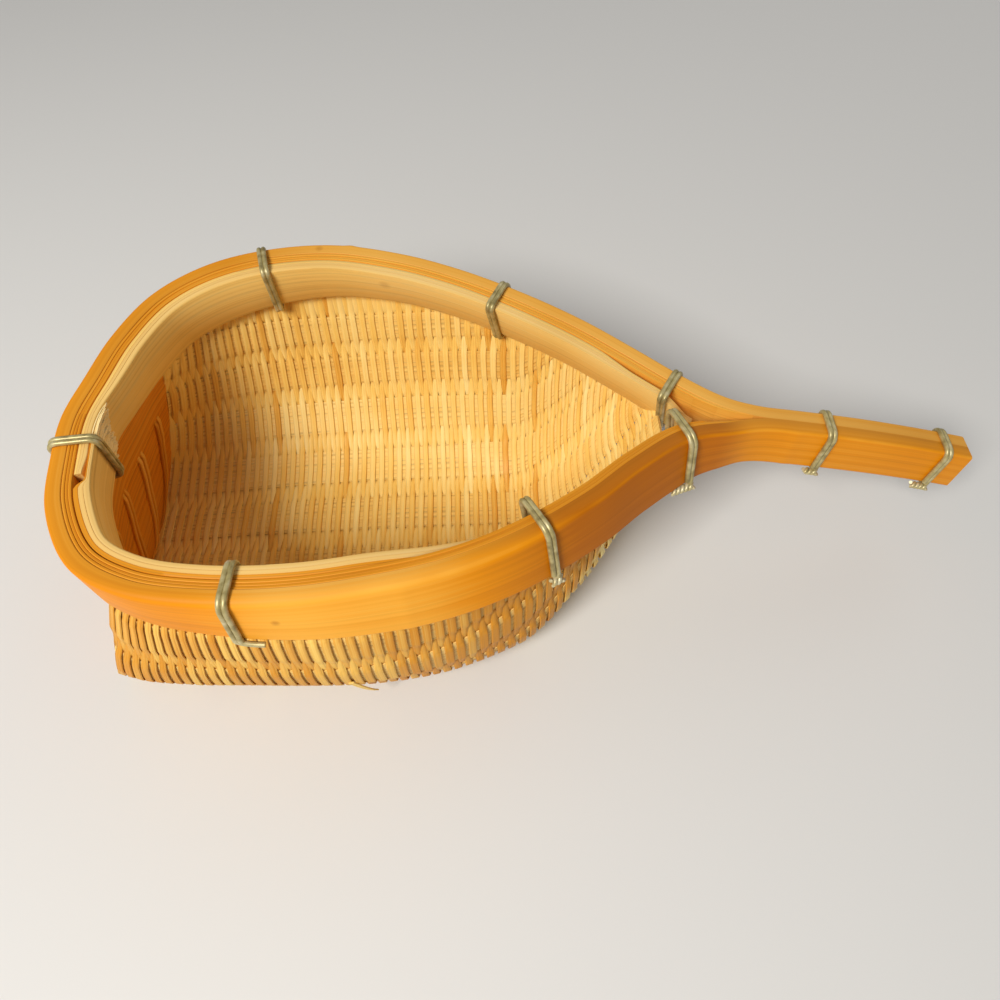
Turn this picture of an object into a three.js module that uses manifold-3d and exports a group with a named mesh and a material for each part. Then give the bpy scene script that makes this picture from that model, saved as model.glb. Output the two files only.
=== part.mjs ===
// Hand-made bamboo scoop basket.
// A woven bowl of flat strips hangs in a rim of bent hoops. The outer hoop's two ends run on as the handle.
// Frame: x runs from the closed end to the handle, y across, z up, millimetres.
import * as THREE from "three";
import { mergeVertices } from "three/addons/utils/BufferGeometryUtils.js";
import Module from "manifold-3d";

const wasm = await Module();
wasm.setup();

// Overall sizes
const overallLength = 271;
const bowlLength = 186;
const bowlWidth = 127;
const closedEndHeight = 72;
const sideHeight = 73;
const sideStation = 75;
const neckHeight = 62;
const handleEndHeight = 40;

// Clearances
const fit = 0.3;
const weaveSlotFit = 0.4;
const handleGap = 0.4;

// Hoops of the rim, from the outside in
const hoopHeight = 16.5;
const hoopThickness = 4.3;
const hoopArris = 0.6;
const middleHeight = 15.5;
const middleThickness = 2.4;
const innerHeight = 15;
const innerThickness = 2.5;
const innerDrop = 0.4;

// How far the hoops lean out below their top edge, for each unit of drop: upright at the closed end and
// on the handle, leaning along the sides of the bowl. The four stations are shares of the bowl's length.
const rimLean = 0.3;
const leanStations = [0.1, 0.55, 0.9, 1.06];

// Steps the shapes are drawn in
const rimSteps = 112;
const outlineSteps = 1600;
const halvings = 50;
const leastStep = 1;
const weldDistance = 1e-4;

// Lap joint of the inner hoop at the closed end
const lapHalf = 11;
const lapRun = 30;

// Where the hoop strips stop short of the neck
const middleStop = 3;
const middleTip = 0.8;
const middleTaper = 26;
const middleButt = 2;
const innerStop = -7;

// The near inner strip narrows from its top edge towards the neck, between two shares of the bowl's length
const narrowing = 6;
const narrowStart = 0.45;
const narrowEnd = 0.72;

// Flat lengthwise ribs
const ribCount = 9;
const ribSpacing = 0.1441;
const ribWidth = 12.5;
const ribThickness = 0.8;
const ribEndMargin = 3;

// Crosswise weavers, each band standing for several narrow weavers side by side
const bandCount = 24;
const bandGap = 0.6;
const bandThickness = 0.7;
const weaveStart = -2;
const weaveTuck = 8;
const neckTieMargin = 3.5;

// Shape of the woven bowl
const floorShare = 0.5;
const floorLength = 126;
const riseSteepness = 1.6;
const neckDepth = 2;
const cornerPower = 0.7;
const pouchLean = -13;
const endBulge = 9;
const endGather = 17;
const gatherLength = 70;
const sectionSteps = 28;
const bowlProbe = 0.5;

// Closed end wall
const endRows = [
  [0.05, 0.4],
  [0.455, 0.7],
  [0.755, 0.92],
];
const endRowThickness = 0.8;
const endReach = 0.965;
const endGap = 0.5;
const uprightCount = 5;
const uprightPitch = 0.39;
const uprightWidth = 0.165;
const uprightThickness = 0.7;
const endProbe = 0.02;

// Wire ties, each one wire wound twice round the rim
const wireRadius = 0.65;
const wirePitch = 1.95;
const wireTurns = 2;
const wireSides = 6;
const wireCorner = 0.15;
const wireTail = 5;
const neckTieBack = 10;
const slotDepth = 7;
const leastWireGap = 0.4;
// as shares of the bowl's length and of the handle's
const bowlTies = { near: [0.29, 0.6935], far: [0.269, 0.661] };
const handleTies = [0.412, 0.894];
const gapPointsApart = 8;

// Colours
const barkColour = 0xb9894f;
const splitColour = 0xd9b884;
const ribColour = 0xc79a55;
const weaverColour = 0xd6ae6b;
const endColour = 0xb57a3c;
const wireColour = 0x8d8a74;
const barkRoughness = 0.5;
const splitRoughness = 0.62;
const wireRoughness = 0.45;
const wireMetalness = 0.8;

const bark = () => new THREE.MeshStandardMaterial({ color: barkColour, roughness: barkRoughness });
const split = (color) => new THREE.MeshStandardMaterial({ color, roughness: splitRoughness });
const steel = () =>
  new THREE.MeshStandardMaterial({
    color: wireColour,
    roughness: wireRoughness,
    metalness: wireMetalness,
  });

const point = (x, y, z) => new THREE.Vector3(x, y, z);
const mix = (a, b, t) => a + (b - a) * t;

function smooth(from, to, value) {
  const t = THREE.MathUtils.clamp((value - from) / (to - from), 0, 1);
  return t * t * (3 - 2 * t);
}

// One cubic through four stations.
function through(stations, x) {
  let sum = 0;
  for (const [xi, zi] of stations) {
    let term = zi;
    for (const [xj] of stations) {
      if (xj !== xi) term *= (x - xj) / (xi - xj);
    }
    sum += term;
  }
  return sum;
}

// Joins rings of points into one closed body.
// Opposite faces are split along the same diagonal, so that strips that cross on a twisted surface
// keep their gap.
function loft(rings) {
  const sides = rings[0].length;
  const points = rings.flat();
  const index = [];
  for (let r = 0; r + 1 < rings.length; r++) {
    for (let k = 0; k < sides; k++) {
      const a = r * sides + k;
      const b = r * sides + ((k + 1) % sides);
      if (k < sides / 2) index.push(a, b, b + sides, a, b + sides, a + sides);
      else index.push(a, b, a + sides, b, b + sides, a + sides);
    }
  }
  const last = (rings.length - 1) * sides;
  for (let k = 1; k + 1 < sides; k++) {
    index.push(0, k + 1, k, last, last + k, last + k + 1);
  }
  let volume = 0;
  for (let i = 0; i < index.length; i += 3) {
    const [a, b, c] = [points[index[i]], points[index[i + 1]], points[index[i + 2]]];
    volume += a.dot(b.clone().cross(c));
  }
  if (volume < 0) index.reverse();
  const shape = new THREE.BufferGeometry().setFromPoints(points);
  shape.setIndex(index);
  return shape;
}

// A ring of a flat strip between two edge points, set off along the strip's normal.
function flatRing(a, b, normal, offset, thickness) {
  const up = normal.clone().multiplyScalar(offset + thickness / 2);
  const down = normal.clone().multiplyScalar(offset - thickness / 2);
  return [a.clone().add(up), b.clone().add(up), b.clone().add(down), a.clone().add(down)];
}

function solidOf(shape) {
  const bare = shape.clone();
  bare.deleteAttribute("normal");
  bare.deleteAttribute("uv");
  const merged = mergeVertices(bare, weldDistance);
  return new wasm.Manifold(
    new wasm.Mesh({
      numProp: 3,
      vertProperties: merged.attributes.position.array,
      triVerts: new Uint32Array(merged.index.array),
    }),
  );
}

function shapeOf(solid) {
  const mesh = solid.getMesh();
  const shape = new THREE.BufferGeometry();
  shape.setAttribute("position", new THREE.BufferAttribute(mesh.vertProperties, mesh.numProp));
  shape.setIndex(new THREE.BufferAttribute(mesh.triVerts, 1));
  return shape;
}

// Outline of the rim's top edge, as shares of the bowl's length and half width. The bent hoop is not
// quite even: its far side is fuller next to the closed end.
const nearOutline = [
  [0.0048, 0.222],
  [0.0226, 0.479],
  [0.0774, 0.745],
  [0.1548, 0.877],
  [0.2554, 0.935],
  [0.3753, 0.94],
  [0.4903, 0.893],
  [0.5855, 0.824],
  [0.6801, 0.704],
  [0.785, 0.51],
  [0.8608, 0.329],
  [0.9457, 0.161],
];
const farOutline = [
  [0.0148, 0.214],
  [0.036, 0.46],
  [0.0823, 0.729],
  [0.1511, 0.902],
  [0.25, 1.014],
  [0.376, 1.044],
  [0.495, 0.975],
  [0.591, 0.874],
  [0.688, 0.735],
  [0.796, 0.548],
  [0.876, 0.379],
  [0.957, 0.205],
];
const neckFlare = [
  [1.016, 0.041],
  [1.07, 0.005],
  [1.14, 0],
];
const handleHalf = hoopThickness + handleGap / 2;
function halfOutline(shares, side) {
  const place = (x, y) => point(x, side * y, 0);
  const points = shares.map(([a, b]) => place(a * bowlLength, (b * bowlWidth) / 2));
  for (const [a, b] of neckFlare) points.push(place(a * bowlLength, handleHalf + (b * bowlWidth) / 2));
  points.push(place(overallLength, handleHalf));
  return points;
}
const outline = new THREE.CatmullRomCurve3(
  [...halfOutline(nearOutline, -1).reverse(), point(0, 0, 0), ...halfOutline(farOutline, 1)],
  false,
  "centripetal",
);
outline.arcLengthDivisions = outlineSteps;

const rimTop = (x) =>
  through(
    [
      [0, closedEndHeight],
      [sideStation, sideHeight],
      [bowlLength, neckHeight],
      [overallLength, handleEndHeight],
    ],
    x,
  );

// Rim stations, with the inward normal and the distance round the rim from the tip of the closed end
const rim = outline.getSpacedPoints(rimSteps).map((p) => ({ at: p }));
const reach = outline.getLength() / 2;
rim.forEach((station, i) => {
  const before = rim[Math.max(i - 1, 0)].at;
  const after = rim[Math.min(i + 1, rimSteps)].at;
  const along = after.clone().sub(before).normalize();
  station.inward = point(along.y, -along.x, 0);
  station.way = mix(-reach, reach, i / rimSteps);
  const least = handleHalf * Math.sign(station.way);
  if (station.at.x > bowlLength && Math.abs(station.at.y) < handleHalf) station.at.y = least;
});

function leanAt(x) {
  const [start, full, ease, end] = leanStations.map((share) => share * bowlLength);
  return rimLean * smooth(start, full, x) * (1 - smooth(ease, end, x));
}

// The rim at any distance from the tip, at any depth in from its outer face and drop from its top.
function rimAt(way, depth, drop = 0) {
  const place = THREE.MathUtils.clamp(((way + reach) / (2 * reach)) * rimSteps, 0, rimSteps);
  const i = Math.min(Math.floor(place), rimSteps - 1);
  const t = place - i;
  const at = rim[i].at.clone().lerp(rim[i + 1].at, t);
  const inward = rim[i].inward.clone().lerp(rim[i + 1].inward, t);
  return at.addScaledVector(inward, depth - leanAt(at.x) * drop);
}

// The distance from the tip at which the rim's layer at this depth and drop passes station x.
function wayTo(x, side, depth, drop = 0) {
  let low = 0;
  let high = reach;
  for (let k = 0; k < halvings; k++) {
    const middle = (low + high) / 2;
    if (rimAt(side * middle, depth, drop).x < x) low = middle;
    else high = middle;
  }
  return side * low;
}

// A hoop strip between two distances from the tip. Its depth, its thickness and how far its top edge
// is cut down are given along the way.
function hoop({ from, to, depthAt, thicknessAt, height, drop, arris = 0, cutDown = () => 0 }) {
  const ways = [from];
  for (const station of rim) {
    if (station.way > from + leastStep && station.way < to - leastStep) ways.push(station.way);
  }
  ways.push(to);
  const rings = ways.map((way) => {
    const thickness = thicknessAt(way);
    const rimLevel = rimTop(rimAt(way, 0).x);
    const top = drop + cutDown(way);
    const low = drop + height;
    const corner = (inset, down) => rimAt(way, depthAt(way) + inset, down).setZ(rimLevel - down);
    const inner = thickness - arris;
    if (!arris) return [corner(0, top), corner(inner, top), corner(inner, low), corner(0, low)];
    return [
      corner(0, top + arris),
      corner(arris, top),
      corner(inner, top),
      corner(thickness, top + arris),
      corner(thickness, low - arris),
      corner(inner, low),
      corner(arris, low),
      corner(0, low - arris),
    ];
  });
  return loft(rings);
}

const middleDepth = hoopThickness + fit;
const weaveDepth = middleDepth + middleThickness + weaveSlotFit + bandThickness / 2;
const innerDepth = weaveDepth + bandThickness / 2 + weaveSlotFit;
const rimDepth = innerDepth + innerThickness;
const lapShift = innerThickness + fit;

// Half width of the weave's own line between the hoops.
function weaveHalf(x, side, drop) {
  return Math.abs(rimAt(wayTo(x, side, weaveDepth, drop), weaveDepth, drop).y);
}

// Where a weaver that crosses the floor at u meets the rim.
function rimX(u) {
  const share = Math.max(0, 1 - u / gatherLength);
  return u + endGather * share * share;
}

const neckTieStation = bowlLength - neckTieBack;
const neckInside = (side) => rimAt(wayTo(neckTieStation, side, 0), rimDepth).x;
const weaveEnd = Math.min(neckInside(-1), neckInside(1)) - neckTieMargin;
const hoopBottom = (x) => rimTop(x) - hoopHeight;
const fullDepth = hoopBottom(sideStation);

function keelHeight(u) {
  const share = Math.max(0, (u - floorLength) / (weaveEnd - floorLength));
  return (hoopBottom(weaveEnd) - neckDepth) * Math.pow(share, riseSteepness);
}

// One cross line of the bowl: points from the keel up each wall, with their running lengths.
const sections = new Map();
function section(u) {
  if (sections.has(u)) return sections.get(u);
  const x = rimX(u);
  const keel = keelHeight(u);
  const depth = hoopBottom(x) - keel;
  const lean = (pouchLean * depth) / fullDepth;
  const share = Math.max(0, 1 - u / gatherLength);
  const bulge = endBulge * share * share;
  const sides = {};
  for (const side of [-1, 1]) {
    const half = weaveHalf(x, side, hoopHeight);
    const flat = floorShare * half;
    const points = [point(u, lean, keel), point(u, side * flat + lean, keel)];
    for (let k = 1; k <= sectionSteps; k++) {
      const angle = (k / sectionSteps) * (Math.PI / 2);
      const out = Math.pow(Math.sin(angle), cornerPower);
      const rise = k === sectionSteps ? 1 : 1 - Math.pow(Math.cos(angle), cornerPower);
      const y = flat + (half - flat) * out + bulge * Math.sin(2 * angle);
      points.push(point(mix(u, x, rise), side * y + lean * (1 - rise), keel + depth * rise));
    }
    points.push(point(x, side * weaveHalf(x, side, weaveTuck), rimTop(x) - weaveTuck));
    const lengths = [0];
    for (let k = 1; k < points.length; k++) {
      lengths.push(lengths[k - 1] + points[k].distanceTo(points[k - 1]));
    }
    sides[side] = { points, lengths, toRim: lengths[sectionSteps + 1], toTop: lengths.at(-1) };
  }
  const made = { keel, depth, sides };
  sections.set(u, made);
  return made;
}

// A point of the bowl on cross line u, at a signed length from the keel.
function bowl(u, length) {
  const { points, lengths } = section(u).sides[length < 0 ? -1 : 1];
  const way = Math.abs(length);
  let k = 1;
  while (k + 1 < lengths.length && lengths[k] < way) k++;
  const t = (way - lengths[k - 1]) / (lengths[k] - lengths[k - 1]);
  return points[k - 1].clone().lerp(points[k], t);
}

// Bands across the floor, and the ribs that each one passes
const bandPitch = (weaveEnd - weaveStart) / bandCount;
const bandHalf = (bandPitch - bandGap) / 2;
const bandLines = Array.from({ length: bandCount }, (_, j) => weaveStart + (j + 0.5) * bandPitch);
const ribPitch = ribSpacing * bowlWidth;
const ribLines = Array.from({ length: ribCount }, (_, i) => (i - (ribCount - 1) / 2) * ribPitch);
const overRib = ribThickness / 2 + fit + bandThickness / 2;

function ribFits(line, u) {
  const side = line < 0 ? -1 : 1;
  return Math.abs(line) + ribWidth / 2 + ribEndMargin <= section(u).sides[side].toRim;
}
const ribBands = ribLines.map((line) => {
  const held = [];
  bandLines.forEach((u, j) => {
    if (ribFits(line, u - bandHalf) && ribFits(line, u + bandHalf)) held.push(j);
  });
  return held;
});

// A crosswise band that goes over one rib and under the next.
function band(j) {
  const near = bandLines[j] - bandHalf;
  const far = bandLines[j] + bandHalf;
  const rings = [];
  const place = (lengthNear, lengthFar, offset) => {
    const a = bowl(near, lengthNear);
    const b = bowl(far, lengthFar);
    const along = bowl(near, lengthNear + bowlProbe).sub(bowl(near, lengthNear - bowlProbe));
    along.add(bowl(far, lengthFar + bowlProbe)).sub(bowl(far, lengthFar - bowlProbe));
    const normal = b.clone().sub(a).cross(along).normalize();
    rings.push(flatRing(a, b, normal, offset, bandThickness));
  };
  const edge = (side, key) => {
    place(side * section(near).sides[side][key], side * section(far).sides[side][key], 0);
  };
  edge(-1, "toTop");
  edge(-1, "toRim");
  ribLines.forEach((line, i) => {
    if (!ribBands[i].includes(j)) return;
    const offset = (i + j) % 2 ? overRib : -overRib;
    place(line - ribWidth / 2, line - ribWidth / 2, offset);
    place(line + ribWidth / 2, line + ribWidth / 2, offset);
  });
  edge(1, "toRim");
  edge(1, "toTop");
  return loft(rings);
}

// A lengthwise rib, held by the bands it passes.
function rib(i) {
  const held = ribBands[i];
  const stations = held.flatMap((j) => [bandLines[j] - bandHalf, bandLines[j] + bandHalf]);
  const rings = stations.map((u) => {
    const a = bowl(u, ribLines[i] - ribWidth / 2);
    const b = bowl(u, ribLines[i] + ribWidth / 2);
    const along = bowl(u + bandGap, ribLines[i]).sub(bowl(u - bandGap, ribLines[i]));
    const normal = along.cross(b.clone().sub(a)).normalize();
    return flatRing(a, b, normal, 0, ribThickness);
  });
  return loft(rings);
}

// The closed end wall: a share of its height, and a share of its half width
const endFoot = weaveStart - endGap;
function endSide(side, share) {
  const level = section(endFoot).keel + share * section(endFoot).depth;
  const { points } = section(endFoot).sides[side];
  let k = 2;
  while (k + 1 < points.length && points[k].z < level) k++;
  const t = (level - points[k - 1].z) / (points[k].z - points[k - 1].z);
  return mix(points[k - 1].y, points[k].y, t);
}
const endBetween = (part, across) => mix(endSide(-1, part), endSide(1, part), (across + 1) / 2);

// The distance from the tip at which the end wall's line meets the rim.
function endWay(across) {
  const y = endBetween(1, across);
  let low = -reach / 2;
  let high = reach / 2;
  for (let k = 0; k < halvings; k++) {
    const middle = (low + high) / 2;
    if (rimAt(middle, weaveDepth).y < y) low = middle;
    else high = middle;
  }
  return low;
}
function endWall(share, across) {
  const part = Math.min(share, 1);
  const topX = rimAt(endWay(across), weaveDepth).x;
  const level = section(endFoot).keel + share * section(endFoot).depth;
  return point(mix(endFoot, topX, part), endBetween(part, across), level);
}
const uprightLines = Array.from(
  { length: uprightCount },
  (_, k) => (k - (uprightCount - 1) / 2) * uprightPitch,
);

function endRow(row) {
  const [low, high] = endRows[row];
  const stations = [-endReach];
  for (const line of uprightLines) {
    stations.push(line - uprightWidth / 2, line + uprightWidth / 2);
  }
  stations.push(endReach);
  const rings = stations.map((across) => {
    const a = endWall(low, across);
    const b = endWall(high, across);
    const along = endWall(high, across + endProbe).sub(endWall(high, across - endProbe));
    const normal = b.clone().sub(a).cross(along).negate().normalize();
    return flatRing(a, b, normal, 0, endRowThickness);
  });
  return loft(rings);
}

const overRow = endRowThickness / 2 + fit + uprightThickness / 2;
function upright(k) {
  const rings = [];
  const place = (share, offset) => {
    const a = endWall(share, uprightLines[k] - uprightWidth / 2);
    const b = endWall(share, uprightLines[k] + uprightWidth / 2);
    const line = uprightLines[k];
    const rise = endWall(share + endProbe, line).sub(endWall(share - endProbe, line));
    const normal = b.clone().sub(a).cross(rise).normalize();
    rings.push(flatRing(a, b, normal, offset, uprightThickness));
  };
  endRows.forEach(([low, high], row) => {
    const offset = (row + k) % 2 ? overRow : -overRow;
    place(low, offset);
    place(high, offset);
  });
  place(1, 0);
  place(1 + (hoopHeight - weaveTuck) / section(endFoot).depth, 0);
  return loft(rings);
}

// A round wire along a line of points, its ring carried along without twisting.
const wireSeam = point(1, 0.3, 0.2);
function wire(line) {
  const rings = [];
  let across = null;
  line.forEach((p, i) => {
    const before = line[Math.max(i - 1, 0)];
    const after = line[Math.min(i + 1, line.length - 1)];
    const along = after.clone().sub(before).normalize();
    if (!across) across = wireSeam.clone();
    across.addScaledVector(along, -across.dot(along)).normalize();
    const other = along.clone().cross(across);
    const ring = [];
    for (let k = 0; k < wireSides; k++) {
      const angle = (k / wireSides) * 2 * Math.PI;
      const spoke = across.clone().multiplyScalar(wireRadius * Math.cos(angle));
      ring.push(spoke.addScaledVector(other, wireRadius * Math.sin(angle)).add(p));
    }
    rings.push(ring);
  });
  return loft(rings);
}

// Least gap of a wire to itself, between points far apart along it.
function selfGap(line) {
  const fine = new THREE.CurvePath();
  for (let i = 0; i + 1 < line.length; i++) fine.add(new THREE.LineCurve3(line[i], line[i + 1]));
  const count = Math.round(fine.getLength() / wireRadius);
  const points = fine.getSpacedPoints(count);
  let least = Infinity;
  for (let i = 0; i < points.length; i++) {
    for (let k = i + gapPointsApart; k < points.length; k++) {
      least = Math.min(least, points[i].distanceTo(points[k]));
    }
  }
  return least - 2 * wireRadius;
}

// The line of a tie wound round the rim at one place, from the rim's outer face to a depth.
const wireOff = fit + wireRadius + wireCorner;
const bendSteps = 3;
const sideSteps = 2;
function tieLine(way, depthIn) {
  const foot = rimAt(way, 0);
  const ahead = rimAt(way + 1, 0).setZ(rimTop(rimAt(way + 1, 0).x));
  const behind = rimAt(way - 1, 0).setZ(rimTop(rimAt(way - 1, 0).x));
  const along = ahead.sub(behind).normalize();
  const level = Math.hypot(along.x, along.y);
  const inward = rimAt(way, 1).sub(rimAt(way, 0)).normalize();
  const top = rimTop(foot.x);
  const bottom = top - hoopHeight;
  const corners = [
    [0, top, Math.PI],
    [depthIn, top, Math.PI / 2],
    [depthIn, bottom, 0],
    [0, bottom, -Math.PI / 2],
  ];
  const flat = [];
  flat.push([-wireOff, bottom - wireTail]);
  for (let turn = 0; turn < wireTurns; turn++) {
    corners.forEach(([depth, height, start], c) => {
      const lastBend = turn === wireTurns - 1 && c === corners.length - 1;
      const [pd, pl] = flat.at(-1);
      const bend = [];
      for (let k = 0; k <= bendSteps; k++) {
        const angle = start - ((k / bendSteps) * Math.PI) / 2;
        bend.push([depth + wireOff * Math.cos(angle), height + wireOff * Math.sin(angle)]);
      }
      const [nd, nl] = bend[0];
      for (let k = 1; k <= sideSteps; k++) {
        const t = k / (sideSteps + 1);
        flat.push([mix(pd, nd, t), mix(pl, nl, t)]);
      }
      if (!lastBend) flat.push(...bend);
    });
  }
  const underside = bottom - wireOff;
  flat.push([0, underside]);
  flat.push([-wireOff + wireRadius / 2, underside - wireRadius / 2]);
  flat.push([-wireOff, underside - wireRadius * 2]);
  flat.push([-wireOff, bottom - wireTail]);
  const lengths = [0];
  for (let k = 1; k < flat.length; k++) {
    const [a, b] = [flat[k - 1], flat[k]];
    lengths.push(lengths[k - 1] + Math.hypot(a[0] - b[0], a[1] - b[1]));
  }
  return flat.map(([depth, height], k) => {
    const shift = (lengths[k] / lengths.at(-1) - 0.5) * wireTurns * wirePitch;
    const p = foot.clone().addScaledVector(inward, depth - leanAt(foot.x) * (top - height)).setZ(height);
    return p.addScaledVector(along, shift / level);
  });
}

// The nearest gap between two bands to a wanted station, so that a tie passes between them.
function gapStation(wanted) {
  let best = 0;
  for (let j = 0; j + 1 < bandCount; j++) {
    const x = rimX((bandLines[j] + bandLines[j + 1]) / 2);
    if (Math.abs(x - wanted) < Math.abs(best - wanted)) best = x;
  }
  return best;
}

// A block that clears the weave where a tie's two turns pass under the rim.
function tieSlot(way) {
  const foot = rimAt(way, weaveDepth, hoopHeight);
  const along = rimAt(way + 1, weaveDepth).sub(rimAt(way - 1, weaveDepth)).normalize();
  const width = wireTurns * wirePitch + 2 * wireRadius + 2 * fit;
  const height = wireOff + wireRadius + fit;
  const block = new THREE.BoxGeometry(width, slotDepth, height);
  block.rotateZ(Math.atan2(along.y, along.x));
  block.translate(foot.x, foot.y, hoopBottom(rimAt(way, 0).x) - height / 2);
  return block;
}

const basket = new THREE.Group();
basket.name = "bamboo_scoop_basket";
const inside = new THREE.Group();
basket.add(inside);

function piece(name, shape, material) {
  const mesh = new THREE.Mesh(shape, material);
  mesh.name = name;
  mesh.geometry.computeVertexNormals();
  inside.add(mesh);
}

// Rim
const sideNames = { "-1": "near", 1: "far" };
piece(
  "outer_hoop_handle",
  hoop({
    from: -reach,
    to: reach,
    depthAt: () => 0,
    thicknessAt: () => hoopThickness,
    height: hoopHeight,
    drop: 0,
    arris: hoopArris,
  }),
  bark(),
);
for (const side of [-1, 1]) {
  const tip = wayTo(bowlLength + middleStop, side, 0);
  const ends = [tip, (side * middleButt) / 2].sort((a, b) => a - b);
  const shape = hoop({
    from: ends[0],
    to: ends[1],
    depthAt: () => middleDepth,
    thicknessAt: (way) => mix(middleTip, middleThickness, smooth(0, middleTaper, Math.abs(tip - way))),
    height: middleHeight,
    drop: innerDrop,
  });
  piece(`middle_strip_${sideNames[side]}`, shape, split(splitColour));
}
// The lap is centred on its tie, which passes between two uprights.
const lapCentre = endWay(-uprightPitch / 2);
const lapStart = lapCentre - lapHalf;
const lapEnd = lapCentre + lapHalf;
piece(
  "inner_hoop_far",
  hoop({
    from: lapStart,
    to: wayTo(bowlLength + innerStop, 1, 0),
    depthAt: () => innerDepth,
    thicknessAt: () => innerThickness,
    height: innerHeight,
    drop: innerDrop,
  }),
  split(splitColour),
);
const narrowWays = [narrowStart, narrowEnd].map((share) => wayTo(share * bowlLength, -1, 0));
piece(
  "inner_hoop_near",
  hoop({
    from: wayTo(bowlLength + innerStop, -1, 0),
    to: lapEnd,
    depthAt: (way) => innerDepth + lapShift * smooth(lapStart - lapRun, lapStart - leastStep, way),
    thicknessAt: () => innerThickness,
    height: innerHeight,
    drop: innerDrop,
    cutDown: (way) => narrowing * smooth(narrowWays[0], narrowWays[1], way),
  }),
  split(splitColour),
);

// Ties, and the slots they need in the weave
const ties = [];
for (const side of [-1, 1]) {
  bowlTies[sideNames[side]].forEach((share, k) => {
    const way = wayTo(gapStation(share * bowlLength), side, weaveDepth, hoopHeight);
    ties.push({ name: `tie_${sideNames[side]}_${k + 1}`, way, depthIn: rimDepth, slot: true });
  });
  const way = wayTo(neckTieStation, side, 0);
  ties.push({ name: `tie_neck_${sideNames[side]}`, way, depthIn: rimDepth });
}
ties.push({ name: "tie_closed_end", way: lapCentre, depthIn: rimDepth + lapShift });
handleTies.forEach((share, k) => {
  const way = wayTo(mix(bowlLength, overallLength, share), -1, 0);
  ties.push({ name: `tie_handle_${k + 1}`, way, depthIn: 2 * handleHalf });
});
for (const tie of ties) {
  const line = tieLine(tie.way, tie.depthIn);
  const gap = selfGap(line);
  console.log(`${tie.name}: least gap of the wire to itself ${gap.toFixed(2)} mm`);
  if (gap < leastWireGap) throw new Error(`${tie.name} touches itself`);
  piece(tie.name, wire(line), steel());
}

// Weave
const slots = ties.filter((tie) => tie.slot).map((tie) => solidOf(tieSlot(tie.way)));
for (let j = 0; j < bandCount; j++) {
  let shape = band(j);
  let solid = solidOf(shape);
  for (const slot of slots) {
    if (solid.intersect(slot).volume() > 0) {
      solid = solid.subtract(slot);
      shape = shapeOf(solid);
    }
  }
  piece(`weaver_${String(j + 1).padStart(2, "0")}`, shape, split(weaverColour));
}
for (let i = 0; i < ribCount; i++) {
  piece(`rib_${String(i + 1).padStart(2, "0")}`, rib(i), split(ribColour));
}

// Closed end
endRows.forEach((_, row) => piece(`end_strip_${row + 1}`, endRow(row), split(endColour)));
for (let k = 0; k < uprightCount; k++) {
  piece(`upright_${k + 1}`, upright(k), split(weaverColour));
}

// The origin is the middle of the part's box, at the level it rests on.
const box = new THREE.Box3().setFromObject(inside);
const centre = box.getCenter(point(0, 0, 0));
inside.position.set(-centre.x, -centre.y, -box.min.z);

export default basket;
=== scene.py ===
import math
import bpy
import numpy as np
from mathutils import Matrix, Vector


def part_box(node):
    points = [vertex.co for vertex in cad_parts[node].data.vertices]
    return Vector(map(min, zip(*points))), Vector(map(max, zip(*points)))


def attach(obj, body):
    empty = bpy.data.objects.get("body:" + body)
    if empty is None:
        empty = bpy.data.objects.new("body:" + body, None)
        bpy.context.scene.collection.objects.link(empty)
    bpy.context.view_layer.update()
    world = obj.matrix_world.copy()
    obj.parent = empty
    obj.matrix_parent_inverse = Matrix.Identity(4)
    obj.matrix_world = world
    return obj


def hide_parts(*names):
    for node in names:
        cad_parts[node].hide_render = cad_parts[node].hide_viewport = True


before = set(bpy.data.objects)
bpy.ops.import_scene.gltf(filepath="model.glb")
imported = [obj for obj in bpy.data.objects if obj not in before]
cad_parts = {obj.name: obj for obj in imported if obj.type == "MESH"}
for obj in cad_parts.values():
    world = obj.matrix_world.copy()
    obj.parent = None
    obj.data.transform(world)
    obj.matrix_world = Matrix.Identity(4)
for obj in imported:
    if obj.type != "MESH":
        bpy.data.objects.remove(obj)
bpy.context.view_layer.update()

scene = bpy.context.scene

# Sizes in millimetres, in the basket's own frame: x from the closed end to the handle, y across, z up
OVERALL, BOWL, WIDTH = 271.0, 186.0, 127.0
DEEPEST = 75.0
LEVELS = ((0.0, 72.0), (DEEPEST, 73.0), (BOWL, 62.0), (OVERALL, 40.0))
FIT, SLOT_FIT, HANDLE_GAP, CLEAR = 0.3, 0.4, 0.4, 0.02
METRE, WAVES = 0.001, 5

# Hoops: heights, thicknesses and where they stop
HOOP_H, HOOP_T, ARRIS = 16.5, 4.3, 0.6
MID_H, MID_T, MID_STOP = 15.5, 2.4, 3.0
INN_H, INN_T, INN_DROP, INN_STOP = 15.0, 2.5, 0.4, -7.0
RIM_LEAN, LEAN_STATIONS = 0.3, (0.1, 0.55, 0.9, 1.06)
NARROWING, NARROW_START, NARROW_END = 6.0, 0.45, 0.72
NECK_TIE = BOWL - 10.0
HANDLE_HALF = HOOP_T + HANDLE_GAP / 2

# Weave and bowl
BANDS, BAND_T = 24, 0.7
RIBS, RIB_PITCH, RIB_W, RIB_T = 9, 0.1441 * WIDTH, 12.5, 0.8
WEAVE_START, TUCK, NECK_MARGIN = -2.0, 8.0, 3.5
FLOOR_SHARE, FLOOR_LENGTH, RISE, NECK_DEPTH = 0.5, 126.0, 1.6, 2.0
POWER, LEAN, BULGE, GATHER, GATHER_LENGTH = 0.7, -13.0, 9.0, 17.0, 70.0
UPRIGHTS, UPRIGHT_PITCH = 5, 0.39
LOWEST = -1.4

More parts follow.
